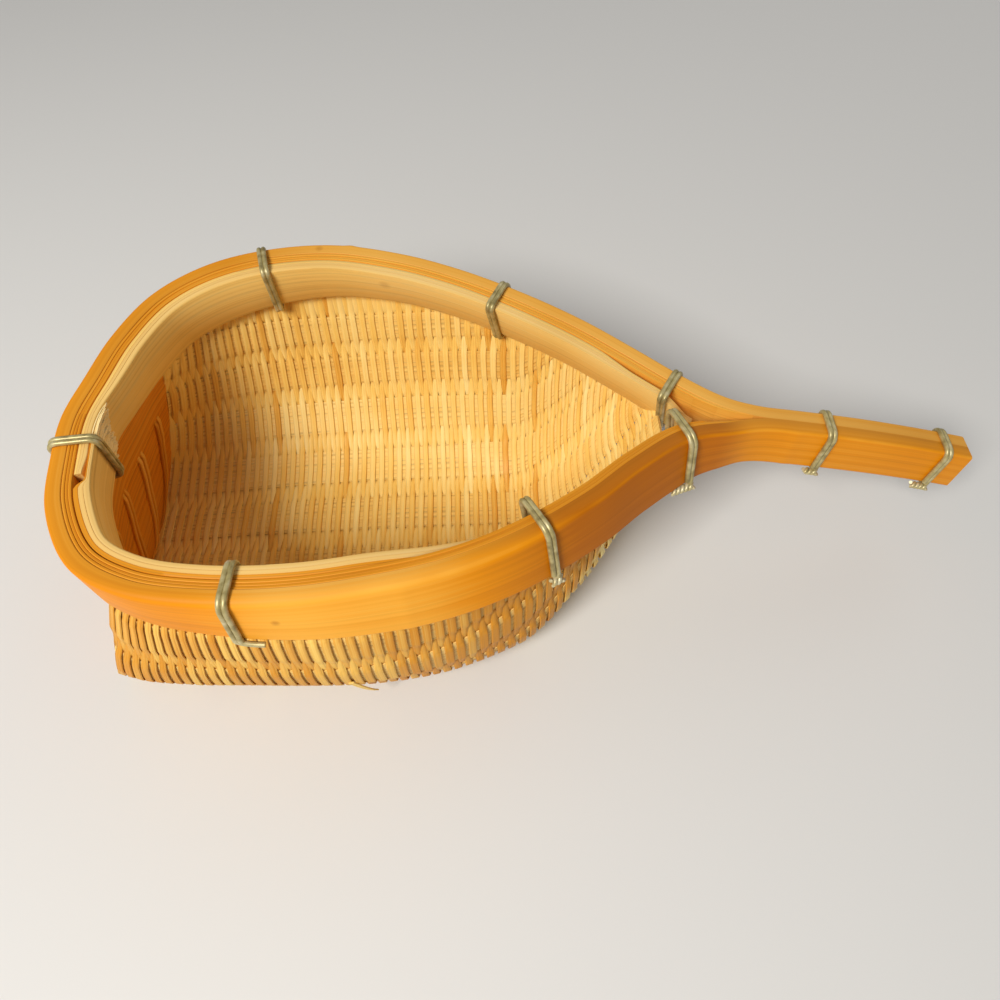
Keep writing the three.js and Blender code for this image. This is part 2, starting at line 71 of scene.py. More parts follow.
# Depths of the layers of the rim, in from the outer face
MID_D = HOOP_T + FIT
WEAVE_D = MID_D + MID_T + SLOT_FIT + BAND_T / 2
INN_D = WEAVE_D + BAND_T / 2 + SLOT_FIT
RIM_D = INN_D + INN_T

# Lap of the inner hoop, where both strips are thinned
LAP_HALF, LAP_RUN, LAP_THINS, LAP_TIP_RUN = 11.0, 30.0, 24.0, 7.0
LAP_T, LAP_H = 1.35, INN_H - 1.8
LAP_SHIFT = LAP_T + 0.15


def smooth(a, b, x):
    """A soft step from 0 at a to 1 at b."""
    t = np.clip((np.asarray(x, float) - a) / (b - a), 0, 1)
    return t * t * (3 - 2 * t)


def hump(stations, x):
    """A soft rise to 1 between the first two stations, and a fall back to 0 between the last two."""
    start, full, ease, end = stations
    return smooth(start, full, x) * (1 - smooth(ease, end, x))


def wander(x, seed, scale):
    """A smooth uneven line along x, between about -1 and 1."""
    r = np.random.default_rng(seed)
    x = np.asarray(x, float)
    total = np.zeros_like(x)
    for k in range(WAVES):
        wave = x / scale * (0.6 + 0.55 * k) * 2 * math.pi + r.uniform(0, 6.283)
        total += np.sin(wave) * r.uniform(0.4, 1) / (1 + 0.5 * k)
    return total / 2.2


def unit(v):
    return v / np.maximum(np.linalg.norm(v, axis=-1, keepdims=True), 1e-12)


def run_along(points):
    """Distance of each point along the line through them."""
    return np.r_[0, np.cumsum(np.linalg.norm(np.diff(points, axis=0), axis=1))]


def spaced(a, b, step):
    return np.linspace(a, b, max(2, int(abs(b - a) / step) + 1))


# Outline of the rim's top edge, as shares of the bowl's length and half width
NEAR = ((0.0048, 0.222), (0.0226, 0.479), (0.0774, 0.745), (0.1548, 0.877), (0.2554, 0.935), (0.3753, 0.94),
        (0.4903, 0.893), (0.5855, 0.824), (0.6801, 0.704), (0.785, 0.51), (0.8608, 0.329), (0.9457, 0.161))
FAR = ((0.0148, 0.214), (0.036, 0.46), (0.0823, 0.729), (0.1511, 0.902), (0.25, 1.014), (0.376, 1.044),
       (0.495, 0.975), (0.591, 0.874), (0.688, 0.735), (0.796, 0.548), (0.876, 0.379), (0.957, 0.205))
FLARE = ((1.016, 0.041), (1.07, 0.005), (1.14, 0))
CURVE_STEPS, RIM_POINTS = 40, 1601


def catmull(points):
    """A centripetal curve through the points."""
    p = np.vstack([2 * points[0] - points[1], points, 2 * points[-1] - points[-2]])
    out = []
    for i in range(1, len(p) - 2):
        p0, p1, p2, p3 = p[i - 1:i + 3]
        d0, d1, d2 = (np.linalg.norm(q) ** 0.5 for q in (p0 - p1, p1 - p2, p2 - p3))
        t1 = ((p1 - p0) / d0 - (p2 - p0) / (d0 + d1) + (p2 - p1) / d1) * d1
        t2 = ((p2 - p1) / d1 - (p3 - p1) / (d1 + d2) + (p3 - p2) / d2) * d1
        for k in range(CURVE_STEPS):
            t = k / CURVE_STEPS
            cubic = (2 * p1 - 2 * p2 + t1 + t2) * t ** 3
            out.append(p1 + t1 * t + (-3 * p1 + 3 * p2 - 2 * t1 - t2) * t * t + cubic)
    out.append(p[-2])
    return np.array(out)


def evenly(points, count):
    """The line through the points at even distances, and those distances."""
    run = run_along(points)
    at = np.linspace(0, run[-1], count)
    return np.stack([np.interp(at, run, points[:, k]) for k in range(points.shape[1])], 1), at


def half_outline(shares, side):
    """One side of the rim in plan, from the closed end to the end of the handle."""
    points = [(a * BOWL, b * WIDTH / 2) for a, b in shares]
    points += [(a * BOWL, HANDLE_HALF + b * WIDTH / 2) for a, b in FLARE] + [(OVERALL, HANDLE_HALF)]
    return np.array(points) * (1, side)


whole_outline = np.vstack([half_outline(NEAR, -1)[::-1], [(0, 0)], half_outline(FAR, 1)])
RIM, WAY = evenly(catmull(whole_outline), RIM_POINTS)
REACH = WAY[-1] / 2
WAY = WAY - REACH
too_thin = (RIM[:, 0] > BOWL) & (np.abs(RIM[:, 1]) < HANDLE_HALF)
RIM[too_thin, 1] = np.sign(RIM[too_thin, 1]) * HANDLE_HALF
ALONG = np.gradient(RIM, axis=0)
ALONG /= np.linalg.norm(ALONG, axis=1)[:, None]
INWARD = np.stack([ALONG[:, 1], -ALONG[:, 0]], 1)


def lean_at(x):
    """How far the rim's outer face leans out for each millimetre down."""
    return RIM_LEAN * hump([share * BOWL for share in LEAN_STATIONS], x)


def rim_at(way, depth, drop=0.0):
    """A point of the rim in plan, by distance round from the tip, depth in and drop from the top."""
    way, depth, drop = np.broadcast_arrays(way, depth, drop)
    x, y, nx, ny = (np.interp(way, WAY, a) for a in (*RIM.T, *INWARD.T))
    inset = depth - lean_at(x) * drop
    return np.stack([x + nx * inset, y + ny * inset], -1)


def rim_station(ways):
    """The x of the rim's outer top edge at a distance round from the tip."""
    return rim_at(ways, 0)[..., 0]


def way_to(x, side, depth, drop=0.0):
    """The distance round from the tip at which one side of the rim reaches x."""
    ws = WAY[WAY * side >= 0]
    xs = rim_at(ws, depth, drop)[:, 0]
    order = np.argsort(ws * side)
    return np.interp(x, np.maximum.accumulate(xs[order]), ws[order])


def rim_top(x):
    """Height of the rim's top edge, a smooth curve through LEVELS."""
    x = np.asarray(x, float)
    total = 0
    for xi, zi in LEVELS:
        term = np.full_like(x, zi)
        for xj, _ in LEVELS:
            if xj != xi:
                term = term * (x - xj) / (xi - xj)
        total = total + term
    return total


# Where the basket's own frame lies in the part's frame, found from the solid of the outer hoop
lo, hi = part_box("outer_hoop_handle")
low_edge = rim_at(WAY, 0, HOOP_H - ARRIS)[:, 1]
middle_y = (low_edge.min() + low_edge.max()) / 2 - (lo[1] + hi[1]) / 2 / METRE
CENTRE = np.array([OVERALL - hi[0] / METRE, middle_y, LOWEST])


def metres(p):
    """Points of the basket's own frame in the part's frame."""
    return (np.asarray(p) - CENTRE) * METRE


# Surface of the bowl: u along it, s across it from the keel
WEAVE_LINES = {(s, d): rim_at(WAY[WAY * s >= 0], WEAVE_D, d)[::s] for s in (-1, 1) for d in (HOOP_H, TUCK)}
WEAVE_END = min(rim_at(way_to(NECK_TIE, s, 0), RIM_D)[0] for s in (-1, 1)) - NECK_MARGIN
STEPS = 56
SECTIONS = {}


def weave_half(x, side, drop):
    """Half width of the weave at the rim."""
    line = WEAVE_LINES[side, drop]
    return abs(np.interp(x, np.maximum.accumulate(line[:, 0]), line[:, 1]))


def hoop_bottom(x):
    return rim_top(x) - HOOP_H


def gather(u):
    """How strongly the walls draw in at u: 1 at the closed end, 0 from GATHER_LENGTH on."""
    share = max(0.0, 1 - u / GATHER_LENGTH)
    return share * share


def rim_x(u):
    """The x at which the cross line that starts from u on the keel reaches the rim."""
    return u + GATHER * gather(u)


def keel_level(u):
    share = max(0.0, (u - FLOOR_LENGTH) / (WEAVE_END - FLOOR_LENGTH))
    return (hoop_bottom(WEAVE_END) - NECK_DEPTH) * share ** RISE


def section(u):
    """One cross line of the bowl from rim to rim: lengths from the keel, points, where the rim begins."""
    u = round(float(u), 4)
    if u in SECTIONS:
        return SECTIONS[u]
    x = rim_x(u)
    keel = keel_level(u)
    depth = hoop_bottom(x) - keel
    lean = LEAN * depth / hoop_bottom(DEEPEST)
    bulge = BULGE * gather(u)
    angle = np.linspace(0, 1, STEPS + 1)[1:] * math.pi / 2
    out = np.sin(angle) ** POWER
    rise = 1 - np.clip(np.cos(angle), 0, 1) ** POWER
    rise[-1] = 1
    made = {"keel": keel, "depth": depth, "rim": {}, "top": {}}
    parts = {}
    for side in (-1, 1):
        half = weave_half(x, side, HOOP_H)
        flat = FLOOR_SHARE * half
        y = side * (flat + (half - flat) * out + bulge * np.sin(2 * angle)) + lean * (1 - rise)
        points = np.vstack([[u, lean, keel], [u, side * flat + lean, keel],
                            np.stack([u + (x - u) * rise, y, keel + depth * rise], 1),
                            [x, side * weave_half(x, side, TUCK), rim_top(x) - TUCK]])
        run = run_along(points)
        made["rim"][side] = run[-2]
        made["top"][side] = run[-1]
        parts[side] = (run, points)
    made["s"] = np.r_[-parts[-1][0][:0:-1], parts[1][0]]
    made["p"] = np.vstack([parts[-1][1][:0:-1], parts[1][1]])
    SECTIONS[u] = made
    return made


def bowl(u, s):
    """Points of the bowl's surface."""
    m = section(u)
    return np.stack([np.interp(s, m["s"], m["p"][:, k]) for k in range(3)], -1)


# Closed end wall: a share of its height, and a share of its half width
FOOT = WEAVE_START - 0.5
END_SECTION = section(FOOT)
END_KEEL, END_DEPTH = END_SECTION["keel"], END_SECTION["depth"]
END_NEAR = END_SECTION["p"][END_SECTION["s"] < 0][::-1]
END_FAR = END_SECTION["p"][END_SECTION["s"] > 0]
TIP = np.abs(WAY) < REACH / 2
TIP_LINE = rim_at(WAY[TIP], WEAVE_D)


def end_between(part, across):
    """The y of a place on the wall, between the two sides of the bowl's first cross line."""
    level = END_KEEL + part * END_DEPTH
    y_near, y_far = (np.interp(level, line[:, 2], line[:, 1]) for line in (END_NEAR, END_FAR))
    return y_near + (y_far - y_near) * (across + 1) / 2


def end_wall(share, across):
    """Points of the wall, which leans in up to the rim and goes straight up above a share of 1."""
    share, across = np.broadcast_arrays(share, across)
    part = np.clip(share, 0, 1)
    top_x = np.interp(end_between(np.ones_like(part), across), TIP_LINE[:, 1], TIP_LINE[:, 0])
    x = FOOT + (top_x - FOOT) * part
    return np.stack([x, end_between(part, across), END_KEEL + share * END_DEPTH], -1)


LAP_CENTRE = np.interp(end_between(1.0, -UPRIGHT_PITCH / 2), TIP_LINE[:, 1], WAY[TIP])
LAP_START, LAP_END = LAP_CENTRE - LAP_HALF, LAP_CENTRE + LAP_HALF


# Meshes
def put(name, data):
    """Adds an object to the scene."""
    made = bpy.data.objects.new(name, data)
    scene.collection.objects.link(made)
    return made


class Maker:
    """Gathers swept strips into one mesh, with texture coordinates, a tint and a mark."""

    def __init__(self):
        self.points, self.faces, self.uvs, self.tints, self.slots, self.marks = ([] for _ in range(6))
        self.count = 0

    def sweep(self, rings, tint=0.5, slot=0, end_slot=None, mark=0.0):
        """Adds a strip. Its tint is one value, or one per ring or point; slot and mark go round the ring."""
        rings = np.asarray(rings, float)
        n, m = rings.shape[:2]
        run = run_along(rings.mean(1))
        gaps = np.linalg.norm(np.roll(rings, -1, 1) - rings, axis=2).mean(0)
        around = np.r_[0, np.cumsum(gaps)]
        r, k = (a.ravel() for a in np.meshgrid(np.arange(n - 1), np.arange(m), indexing="ij"))
        corners = ((r, k), (r + 1, k), (r + 1, k + 1), (r, k + 1))
        self.faces.extend(np.stack([self.count + a * m + b % m for a, b in corners], 1).tolist())
        uv = np.stack([np.stack([run[a], around[b]], 1) for a, b in corners], 1)
        self.uvs.append(uv.reshape(-1, 2))
        self.slots.extend(np.tile(np.broadcast_to(slot, m), n - 1).tolist())
        for ring, order in ((0, 1), (n - 1, -1)):
            self.faces.append((self.count + ring * m + np.arange(m))[::order].tolist())
            flat = rings[ring][::order]
            e1 = unit(flat[m // 2] - flat[0])
            e2 = unit(np.cross(np.cross(e1, flat[m // 4] - flat[0]), e1))
            self.uvs.append(np.stack([(flat - flat[0]) @ e1, (flat - flat[0]) @ e2], 1))
            self.slots.append(int(np.min(slot)) if end_slot is None else end_slot)
        self.points.append(metres(rings.reshape(-1, 3)))
        tint = np.asarray(tint, float)
        self.tints.append(np.broadcast_to(tint[:, None] if tint.ndim == 1 else tint, (n, m)).ravel())
        self.marks.append(np.broadcast_to(mark, (n, m)).ravel())
        self.count += n * m

    def done(self, name, materials, slot, nodes, crease=0.9):
        """Makes the piece that replaces the nodes; edges sharper than crease, in radians, stay sharp."""
        mesh = bpy.data.meshes.new(name)
        mesh.from_pydata(np.vstack(self.points).tolist(), [], self.faces)
        mesh.uv_layers.new(name="UVMap")
        mesh.uv_layers["UVMap"].data.foreach_set("uv", (np.vstack(self.uvs) * METRE).ravel())
        for label, values in (("tint", self.tints), ("mark", self.marks)):
            layer = mesh.attributes.new(label, "FLOAT", "POINT")
            layer.data.foreach_set("value", np.concatenate(values))
        for material in materials:
            mesh.materials.append(material)
        mesh.polygons.foreach_set("material_index", np.array(self.slots, dtype=np.int32))
        mesh.update()
        mesh.validate()
        mesh.shade_smooth()
        mesh.set_sharp_from_angle(angle=crease)
        piece = put(name, mesh)
        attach(piece, "root")
        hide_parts(*nodes)


def lie(path, across):
    """Directions along, across and out of a strip that lies on a surface."""
    t = unit(np.gradient(path, axis=0))
    w = unit(across - (across * t).sum(-1, keepdims=True) * t)
    return t, w, np.cross(w, t)


def narrow_rings(centre, w, n, profile, wide, thick):
    """Rings of a narrow strip: the profile set across each point of its centre line."""
    wide, thick = (np.broadcast_to(a, len(centre))[:, None, None] for a in (wide, thick))
    return centre[:, None] + w[:, None] * (profile[..., :1] * wide) + n[:, None] * (profile[..., 1:] * thick)


def flat_ring(points, lengthwise, half_thick):
    """One ring of a wide flat strip, from points across it and its direction there."""
    n = unit(np.cross(lengthwise, unit(np.gradient(points, axis=0))))
    return np.vstack([points + n * half_thick, (points - n * half_thick)[::-1]])


# Materials
class Shading:
    """A material, with short ways to add nodes and to join them."""

    def __init__(self, name):
        self.material = bpy.data.materials.new(name)
        self.material.use_nodes = True
        self.tree = self.material.node_tree
        self.shader = self.tree.nodes["Principled BSDF"]

    def feed(self, node, values):
        """Sets each named input to a value, or joins it to another node's output."""
        for key, value in values.items():
            if isinstance(value, bpy.types.NodeSocket):
                self.tree.links.new(value, node.inputs[key])
            else:
                node.inputs[key].default_value = value

    def add(self, kind, inputs, **settings):
        """Adds a node and gives its outputs."""
        node = self.tree.nodes.new("ShaderNode" + kind)
        for key, value in settings.items():
            setattr(node, key, value)
        self.feed(node, inputs)
        return node.outputs

    def attribute(self, name):
        return self.add("Attribute", {}, attribute_name=name)["Fac"]

    def calc(self, operation, *values):
        return self.add("Math", dict(enumerate(values)), operation=operation)[0]

    def spread(self, value, low, high, at_low, at_high):
        ends = {"From Min": low, "From Max": high, "To Min": at_low, "To Max": at_high}
        return self.add("MapRange", {"Value": value, **ends})["Result"]

    def mix(self, factor, a, b, blend="MIX"):
        inputs = {"Factor": factor, "A": a, "B": b}
        return self.add("Mix", inputs, data_type="RGBA", blend_type=blend)["Result"]

    def bump(self, height, strength, distance):
        return self.add("Bump", {"Height": height, "Strength": strength, "Distance": distance})["Normal"]

    def grain(self, uv, scale, detail, shift):
        """Noise stretched by its two scales, in repeats for each metre along and across."""
        split = self.add("SeparateXYZ", {0: uv})
        along, across = (self.calc("MULTIPLY", split[axis], scale[axis]) for axis in (0, 1))
        place = self.add("CombineXYZ", {0: along, 1: across, 2: shift})[0]
        inputs = {"Vector": place, "Scale": 1.0, "Detail": detail, "Roughness": 0.6}
        return self.add("TexNoise", inputs)["Fac"]

    def ramp(self, stops, place):
        node = self.tree.nodes.new("ShaderNodeValToRGB")
        elements = node.color_ramp.elements
        while len(elements) < len(stops):
            elements.new(0.5)
        for element, (position, colour) in zip(elements, stops):
            element.position = position
            element.color = (*colour, 1)
        self.feed(node, {"Fac": place})
        return node.outputs["Color"]


def tones(*colours, places=(0.15, 0.5, 0.85)):
    return tuple(zip(places, colours))


BLOTCH_SCALE, BLOTCH_SHARE = 22.0, 0.3
STAIN = (0.3, 0.085, 0.006, 1)
STAIN_CORE = 0.3


def bamboo(name, stops, fibre, streak, fibre_share=0.5, streak_share=0.5, tint_share=0.5, mark_stops=None,
           rough=(0.36, 0.55), bump=0.3, relief=0.00006, shine=0.2, line=0.2, lines=None, spots=()):
    """Bamboo with fibres, streaks, blotches, dark lines and spots; a point's mark blends it to mark_stops."""
    made = Shading(name)
    uv = made.add("UVMap", {}, uv_map="UVMap")["UV"]
    where = made.add("TexCoord", {})["Object"]
    fine = made.grain(uv, fibre, 3.0, 0.3)
    broad = made.grain(uv, streak, 2.0, 5.1)
    blotch = made.add("TexNoise", {"Vector": where, "Scale": BLOTCH_SCALE, "Detail": 2.0})["Fac"]
    tone = 0.5 - 0.5 * (fibre_share + streak_share + tint_share + BLOTCH_SHARE)
    for value, share in ((fine, fibre_share), (broad, streak_share), (made.attribute("tint"), tint_share),
                         (blotch, BLOTCH_SHARE)):
        tone = made.calc("MULTIPLY_ADD", value, share, tone)
    colour = made.ramp(stops, tone)
    if mark_stops:
        colour = made.mix(made.attribute("mark"), colour, made.ramp(mark_stops, tone))
    if lines:
        dark_lines = made.spread(made.grain(uv, lines, 1.0, 9.7), 0.3, 0.44, 1.0 - line, 1.0)
        colour = made.mix(1.0, colour, dark_lines, "MULTIPLY")
    for place, radius, strength in spots:
        away = made.add("VectorMath", {0: where, 1: place}, operation="DISTANCE")["Value"]
        colour = made.mix(made.spread(away, radius * STAIN_CORE, radius, strength, 0.0), colour, STAIN)
    height = made.calc("MULTIPLY_ADD", fine, 0.7, made.calc("MULTIPLY_ADD", broad, 0.6, 0.0))
    made.feed(made.shader, {"Base Color": colour, "Roughness": made.spread(fine, 0.0, 1.0, *rough),
                            "Specular IOR Level": shine, "Normal": made.bump(height, bump, relief)})
    return made.material


def on_rim(x, side, depth, drop):
    """A place on the rim, in metres."""
    way = way_to(x, side, 0)
    return tuple(metres([*rim_at(way, depth, drop), rim_top(rim_station(way)) - drop]))


# Each spot: its place, its radius in metres and its strength
BARK_SPOTS = ((on_rim(16.0, -1, 0.0, 11.5), 0.0026, 0.4), (on_rim(65.0, -1, 0.0, 8.0), 0.0014, 0.4),
              (on_rim(66.0, 1, HOOP_T / 2, 0.0), 0.0016, 0.3))
SPLIT_SPOTS = ((on_rim(89.0, 1, RIM_D, 6.0), 0.0024, 0.22),)

# What slim strips share, and what broken and cut faces share
STRAND = {"fibre": (12, 3000), "streak": (6, 1200), "lines": (8, 2200)}
BROKEN = {"fibre_share": 0.8, "streak_share": 0.8, "rough": (0.6, 0.8), "bump": 0.8}

BARK = bamboo("bamboo_bark", tones((0.54, 0.15, 0.001), (0.84, 0.29, 0.003), (0.97, 0.48, 0.06)),
              mark_stops=tones((0.46, 0.15, 0.008), (0.71, 0.29, 0.022), (0.88, 0.48, 0.1)),
              fibre=(4, 1500), streak=(2.5, 420), fibre_share=0.2, streak_share=0.32, tint_share=0.8,
              rough=(0.4, 0.54), bump=0.14, shine=0.12, line=0.05, lines=(2.5, 1300), spots=BARK_SPOTS)
LAYER = bamboo("bamboo_layer", tones((0.46, 0.14, 0.004), (0.75, 0.29, 0.014), (0.9, 0.47, 0.07)),
               fibre=(5, 2200), streak=(3, 900), fibre_share=0.4, rough=(0.42, 0.6), lines=(3, 2200))
SPLIT = bamboo("bamboo_split", tones((0.64, 0.34, 0.08), (0.87, 0.56, 0.18), (0.96, 0.74, 0.36)),
               mark_stops=tones((0.55, 0.27, 0.04), (0.95, 0.62, 0.17), (0.99, 0.76, 0.33)),
               fibre=(5, 1500), streak=(3, 420), fibre_share=0.35, streak_share=0.45, tint_share=0.6,
               rough=(0.45, 0.65), line=0.1, lines=(3, 900), spots=SPLIT_SPOTS)
TORN_FIBRE = bamboo("bamboo_torn", tones((0.56, 0.31, 0.08), (0.92, 0.65, 0.25), (0.98, 0.8, 0.42)),
                    fibre=(60, 2600), streak=(30, 900), tint_share=0.8, relief=0.00012, **BROKEN)
RIB = bamboo("bamboo_rib", tones((0.70, 0.36, 0.05), (0.91, 0.62, 0.18), (0.97, 0.76, 0.32)),
             fibre=(14, 2600), streak=(8, 900), rough=(0.42, 0.6), bump=0.4, line=0.24, lines=(25, 1100))
WEAVER = bamboo("bamboo_weaver",
                tones((0.68, 0.28, 0.02), (0.91, 0.58, 0.13), (0.97, 0.77, 0.31), places=(0.1, 0.45, 0.8)),
                tint_share=0.85, **STRAND)
END = bamboo("bamboo_end", tones((0.42, 0.1, 0.001), (0.74, 0.25, 0.006), (0.86, 0.4, 0.04)),
             fibre=(6, 1800), streak=(4, 500), streak_share=0.7, rough=(0.36, 0.5), lines=(3, 1300))
SLIM = bamboo("bamboo_slim", tones((0.46, 0.13, 0.003), (0.8, 0.34, 0.03), (0.92, 0.54, 0.12)),
              tint_share=0.7, **STRAND)
CUT = bamboo("bamboo_cut", tones((0.42, 0.17, 0.02), (0.74, 0.42, 0.11), (0.88, 0.62, 0.26)),
             fibre=(1800, 1800), streak=(500, 500), **BROKEN)

WIRE_STOPS = ((0.55, (0.26, 0.2, 0.075)), (0.75, (0.46, 0.38, 0.16)), (0.92, (0.58, 0.5, 0.27)),
              (1.0, (0.68, 0.6, 0.38)))


def wire_material():
    """Dull binding wire with stains."""
    made = Shading("tie_wire")
    where = made.add("TexCoord", {})["Object"]
    stain = made.add("TexNoise", {"Vector": where, "Scale": 380.0, "Detail": 4.0})["Fac"]
    tone = made.calc("SUBTRACT", made.calc("MULTIPLY_ADD", made.attribute("tint"), 0.8, stain), 0.15)
    made.feed(made.shader, {"Base Color": made.ramp(WIRE_STOPS, tone), "Metallic": 0.3,
                            "Roughness": made.spread(stain, 0.0, 1.0, 0.28, 0.5),
                            "Normal": made.bump(stain, 0.3, 0.00005)})
    return made.material


WIRE = wire_material()


# Strips of the rim
def rounded(thick, height, radii, steps):
    """Section of a hoop strip as depth and level, from its outer lower corner up and round."""
    lower_out, upper_out, upper_in, lower_in = radii
    corners = ((lower_out, -height + lower_out, lower_out, 1.5), (upper_out, -upper_out, upper_out, 1.0),
               (thick - upper_in, -upper_in, upper_in, 0.5),
               (thick - lower_in, -height + lower_in, lower_in, 0.0))
    points = []
    for cx, cz, r, turn in corners:
        for k in range(steps + 1):
            a = math.pi * turn - math.pi / 2 * k / steps
            points.append((cx + r * math.cos(a), cz + r * math.sin(a)))
    return np.array(points)


def hoop_rings(ways, depth, profile, drop, shift):
    """Rings of a hoop strip: its section at each distance round the rim, and a shift up or down."""
    depth = np.broadcast_to(depth, ways.shape)
    top = rim_top(rim_station(ways)) - drop + shift
    rings = []
    for w, d, z in zip(ways, depth, top):
        p = profile(w)
        rings.append(np.column_stack([rim_at(w, d + p[:, 0], drop - p[:, 1]), z + p[:, 1]]))
    return np.array(rings)


# Outer hoop with both handle halves
HOOP_STEP, CORNER_STEPS = 1.1, 5
LOWER_OUT, UPPER_OUT, UPPER_IN, LOWER_IN = 1.0, 0.9, 0.3, 0.6
SOFT_LEAST, SOFT_MORE, SOFT_STATIONS = 0.85, 1.2, (12, 40, 118, 160)
# Joints of the bamboo: the distance round from the tip, and how far the bark swells there
JOINTS = ((way_to(210, -1, 0), 0.16), (way_to(76, 1, 0), 0.45), (way_to(96, -1, 0), 0.12))
JOINT_HALF, SWELL_DEPTH = 1.8, 2.2
BARK_DEPTH = 1.6
# Stations between which the handle halves close up, and the hoop's tone turns to the handle's
CLOSING, HANDLE_TONE = (188, 197), (184, 197)
# Stations between which the near side turns pale with painted light and back, the far side turns pale, and
# the near side darkens with painted shade
NEAR_PAINTED_LIGHT, PALE_FAR, NEAR_PAINTED_SHADE = (40, 70, 88, 122), (20, 70), (112, 150)
# Points of the section along the outer top edge, which takes a painted highlight
ARRIS_HIGHLIGHT_POINTS, ARRIS_HIGHLIGHT_SHARES = slice(7, 11), (0.5, 1.0, 1.0, 0.5)


def soft_edge(way):
    """Rounding of the outer top edge, softest along the middle of the near side."""
    if way > 0:
        return UPPER_OUT
    return SOFT_LEAST + SOFT_MORE * hump(SOFT_STATIONS, rim_station(way))


def hoop_profile(way):
    """Section of the outer hoop: the bark swells at the joints, and the handle halves close up."""
    held = smooth(*CLOSING, rim_station(way))
    thick = HOOP_T + (HANDLE_GAP / 2 - 0.01) * held
    radii = (LOWER_OUT, soft_edge(way), UPPER_IN - 0.22 * held, LOWER_IN)
    p = rounded(thick, HOOP_H, radii, CORNER_STEPS)
    swell = sum(h * math.exp(-((way - c) / JOINT_HALF) ** 2) for c, h in JOINTS)
    p[:, 0] -= np.clip(1 - p[:, 0] / SWELL_DEPTH, 0, 1) * (0.08 * wander(way, 3, 60.0) + swell)
    return p


def make_outer_hoop():
    ways = spaced(-REACH, REACH, HOOP_STEP)
    near = ways < 0
    station = rim_station(ways)
    held = smooth(*HANDLE_TONE, station)
    depths = rounded(HOOP_T, HOOP_H, (LOWER_OUT, UPPER_OUT, UPPER_IN, LOWER_IN), CORNER_STEPS)[:, 0]
    # Painted light pales the middle of the near side; the far side is paler in its own colour.
    pale_and_painted_light = np.where(near, hump(NEAR_PAINTED_LIGHT, station), 0.95 * smooth(*PALE_FAR, station))
    # Painted shade darkens the near side towards the neck, but not the handle.
    neck_painted_shade = np.where(near, smooth(*NEAR_PAINTED_SHADE, station) * (1 - held), 0)
    tone = 0.46 + 0.34 * pale_and_painted_light - 0.38 * neck_painted_shade + np.where(near, 0.02, -0.04) * held
    tone = tone + 0.08 * wander(ways, 8, 150.0)
    # A painted highlight lies along the outer top edge, strongest where the rim narrows to the neck.
    edge = np.zeros(len(depths))
    edge[ARRIS_HIGHLIGHT_POINTS] = ARRIS_HIGHLIGHT_SHARES
    arris_highlight = 0.16 * smooth(60, 120, station) * (1 + 0.6 * wander(ways, 12, 25.0))
    uneven = 0.15 * wander(ways, 5, 90.0) * (1 - held)
    hoop = Maker()
    hoop.sweep(hoop_rings(ways, 0, hoop_profile, 0, uneven), tint=tone[:, None] + arris_highlight[:, None] * edge,
               mark=np.clip(depths / BARK_DEPTH, 0, 1), end_slot=1)
    hoop.done("hoop_outer", [BARK, CUT], "bark", ["outer_hoop_handle"])


make_outer_hoop()

# Middle strips, each split into three fine layers that thin out one after another at the neck
STRIP_STEP = 1.3
LAYER_T, LAYER_GAP, LAYER_FIT, LAYER_DROP = 0.83, 0.03, 0.05, 0.15
LAYER_CORNERS = (0.12, 0.16, 0.16, 0.12)
# For each layer: how far it stops short, its least share of thickness, its taper, its shift up and its tone
LAYERS = ((-11.0, 0.08, 14.0, -0.05, 0.1), (1.0, 0.05, 15.0, -0.2, -0.06), (7.0, 0.05, 17.0, -0.1, 0.06))


def layer_end(side, layer):
    return way_to(BOWL + MID_STOP - LAYERS[layer][0], side, 0)


def layer_thickness(ways, side, layer):
    """Thickness of one layer: full round the bowl, and drawn to its least at its end."""
    least, taper = LAYERS[layer][1:3]
    away = np.abs(ways - layer_end(side, layer))
    return LAYER_T * (least + (1 - least) * smooth(0, taper, away))


def add_layer(strips, side, layer):
    shift, tone = LAYERS[layer][3:]
    ways = spaced(layer_end(side, layer), 0.0, STRIP_STEP)
    inset = HOOP_T + LAYER_FIT + sum(layer_thickness(ways, side, k) + LAYER_GAP for k in range(layer))

    def layer_profile(way):
        thick = layer_thickness(way, side, layer)
        return rounded(thick, MID_H, [min(r, thick / 2.2) for r in LAYER_CORNERS], 2)

    uneven = shift + 0.1 * wander(ways, 21 + 3 * layer, 60.0)
    rings = hoop_rings(ways, inset, layer_profile, LAYER_DROP, uneven)
    shade = 0.5 if side < 0 else 0.5 + 0.6 * smooth(15, 80, rim_station(ways))
    shade = shade + tone + 0.12 * wander(ways, 25 + 3 * layer, 90.0)
    strips.sweep(rings[::-side], tint=shade[::-side], end_slot=1)


def make_middle_strip(side, name):
    strips = Maker()
    for layer in range(len(LAYERS)):
        add_layer(strips, side, layer)
    strips.done(f"strip_middle_{name}", [LAYER, CUT], "split", [f"middle_strip_{name}"])


make_middle_strip(-1, "near")
make_middle_strip(1, "far")

# Inner hoop: two strips that lap at the closed end
SLOT_FILL = INN_D - MID_D - MID_T - 0.12
FILL_TOP, FILL_LOW = -6.9, -7.3
SEAMS, SEAM_HALF, SEAM_DEPTH = (0.3, 0.6), 0.07, 0.2
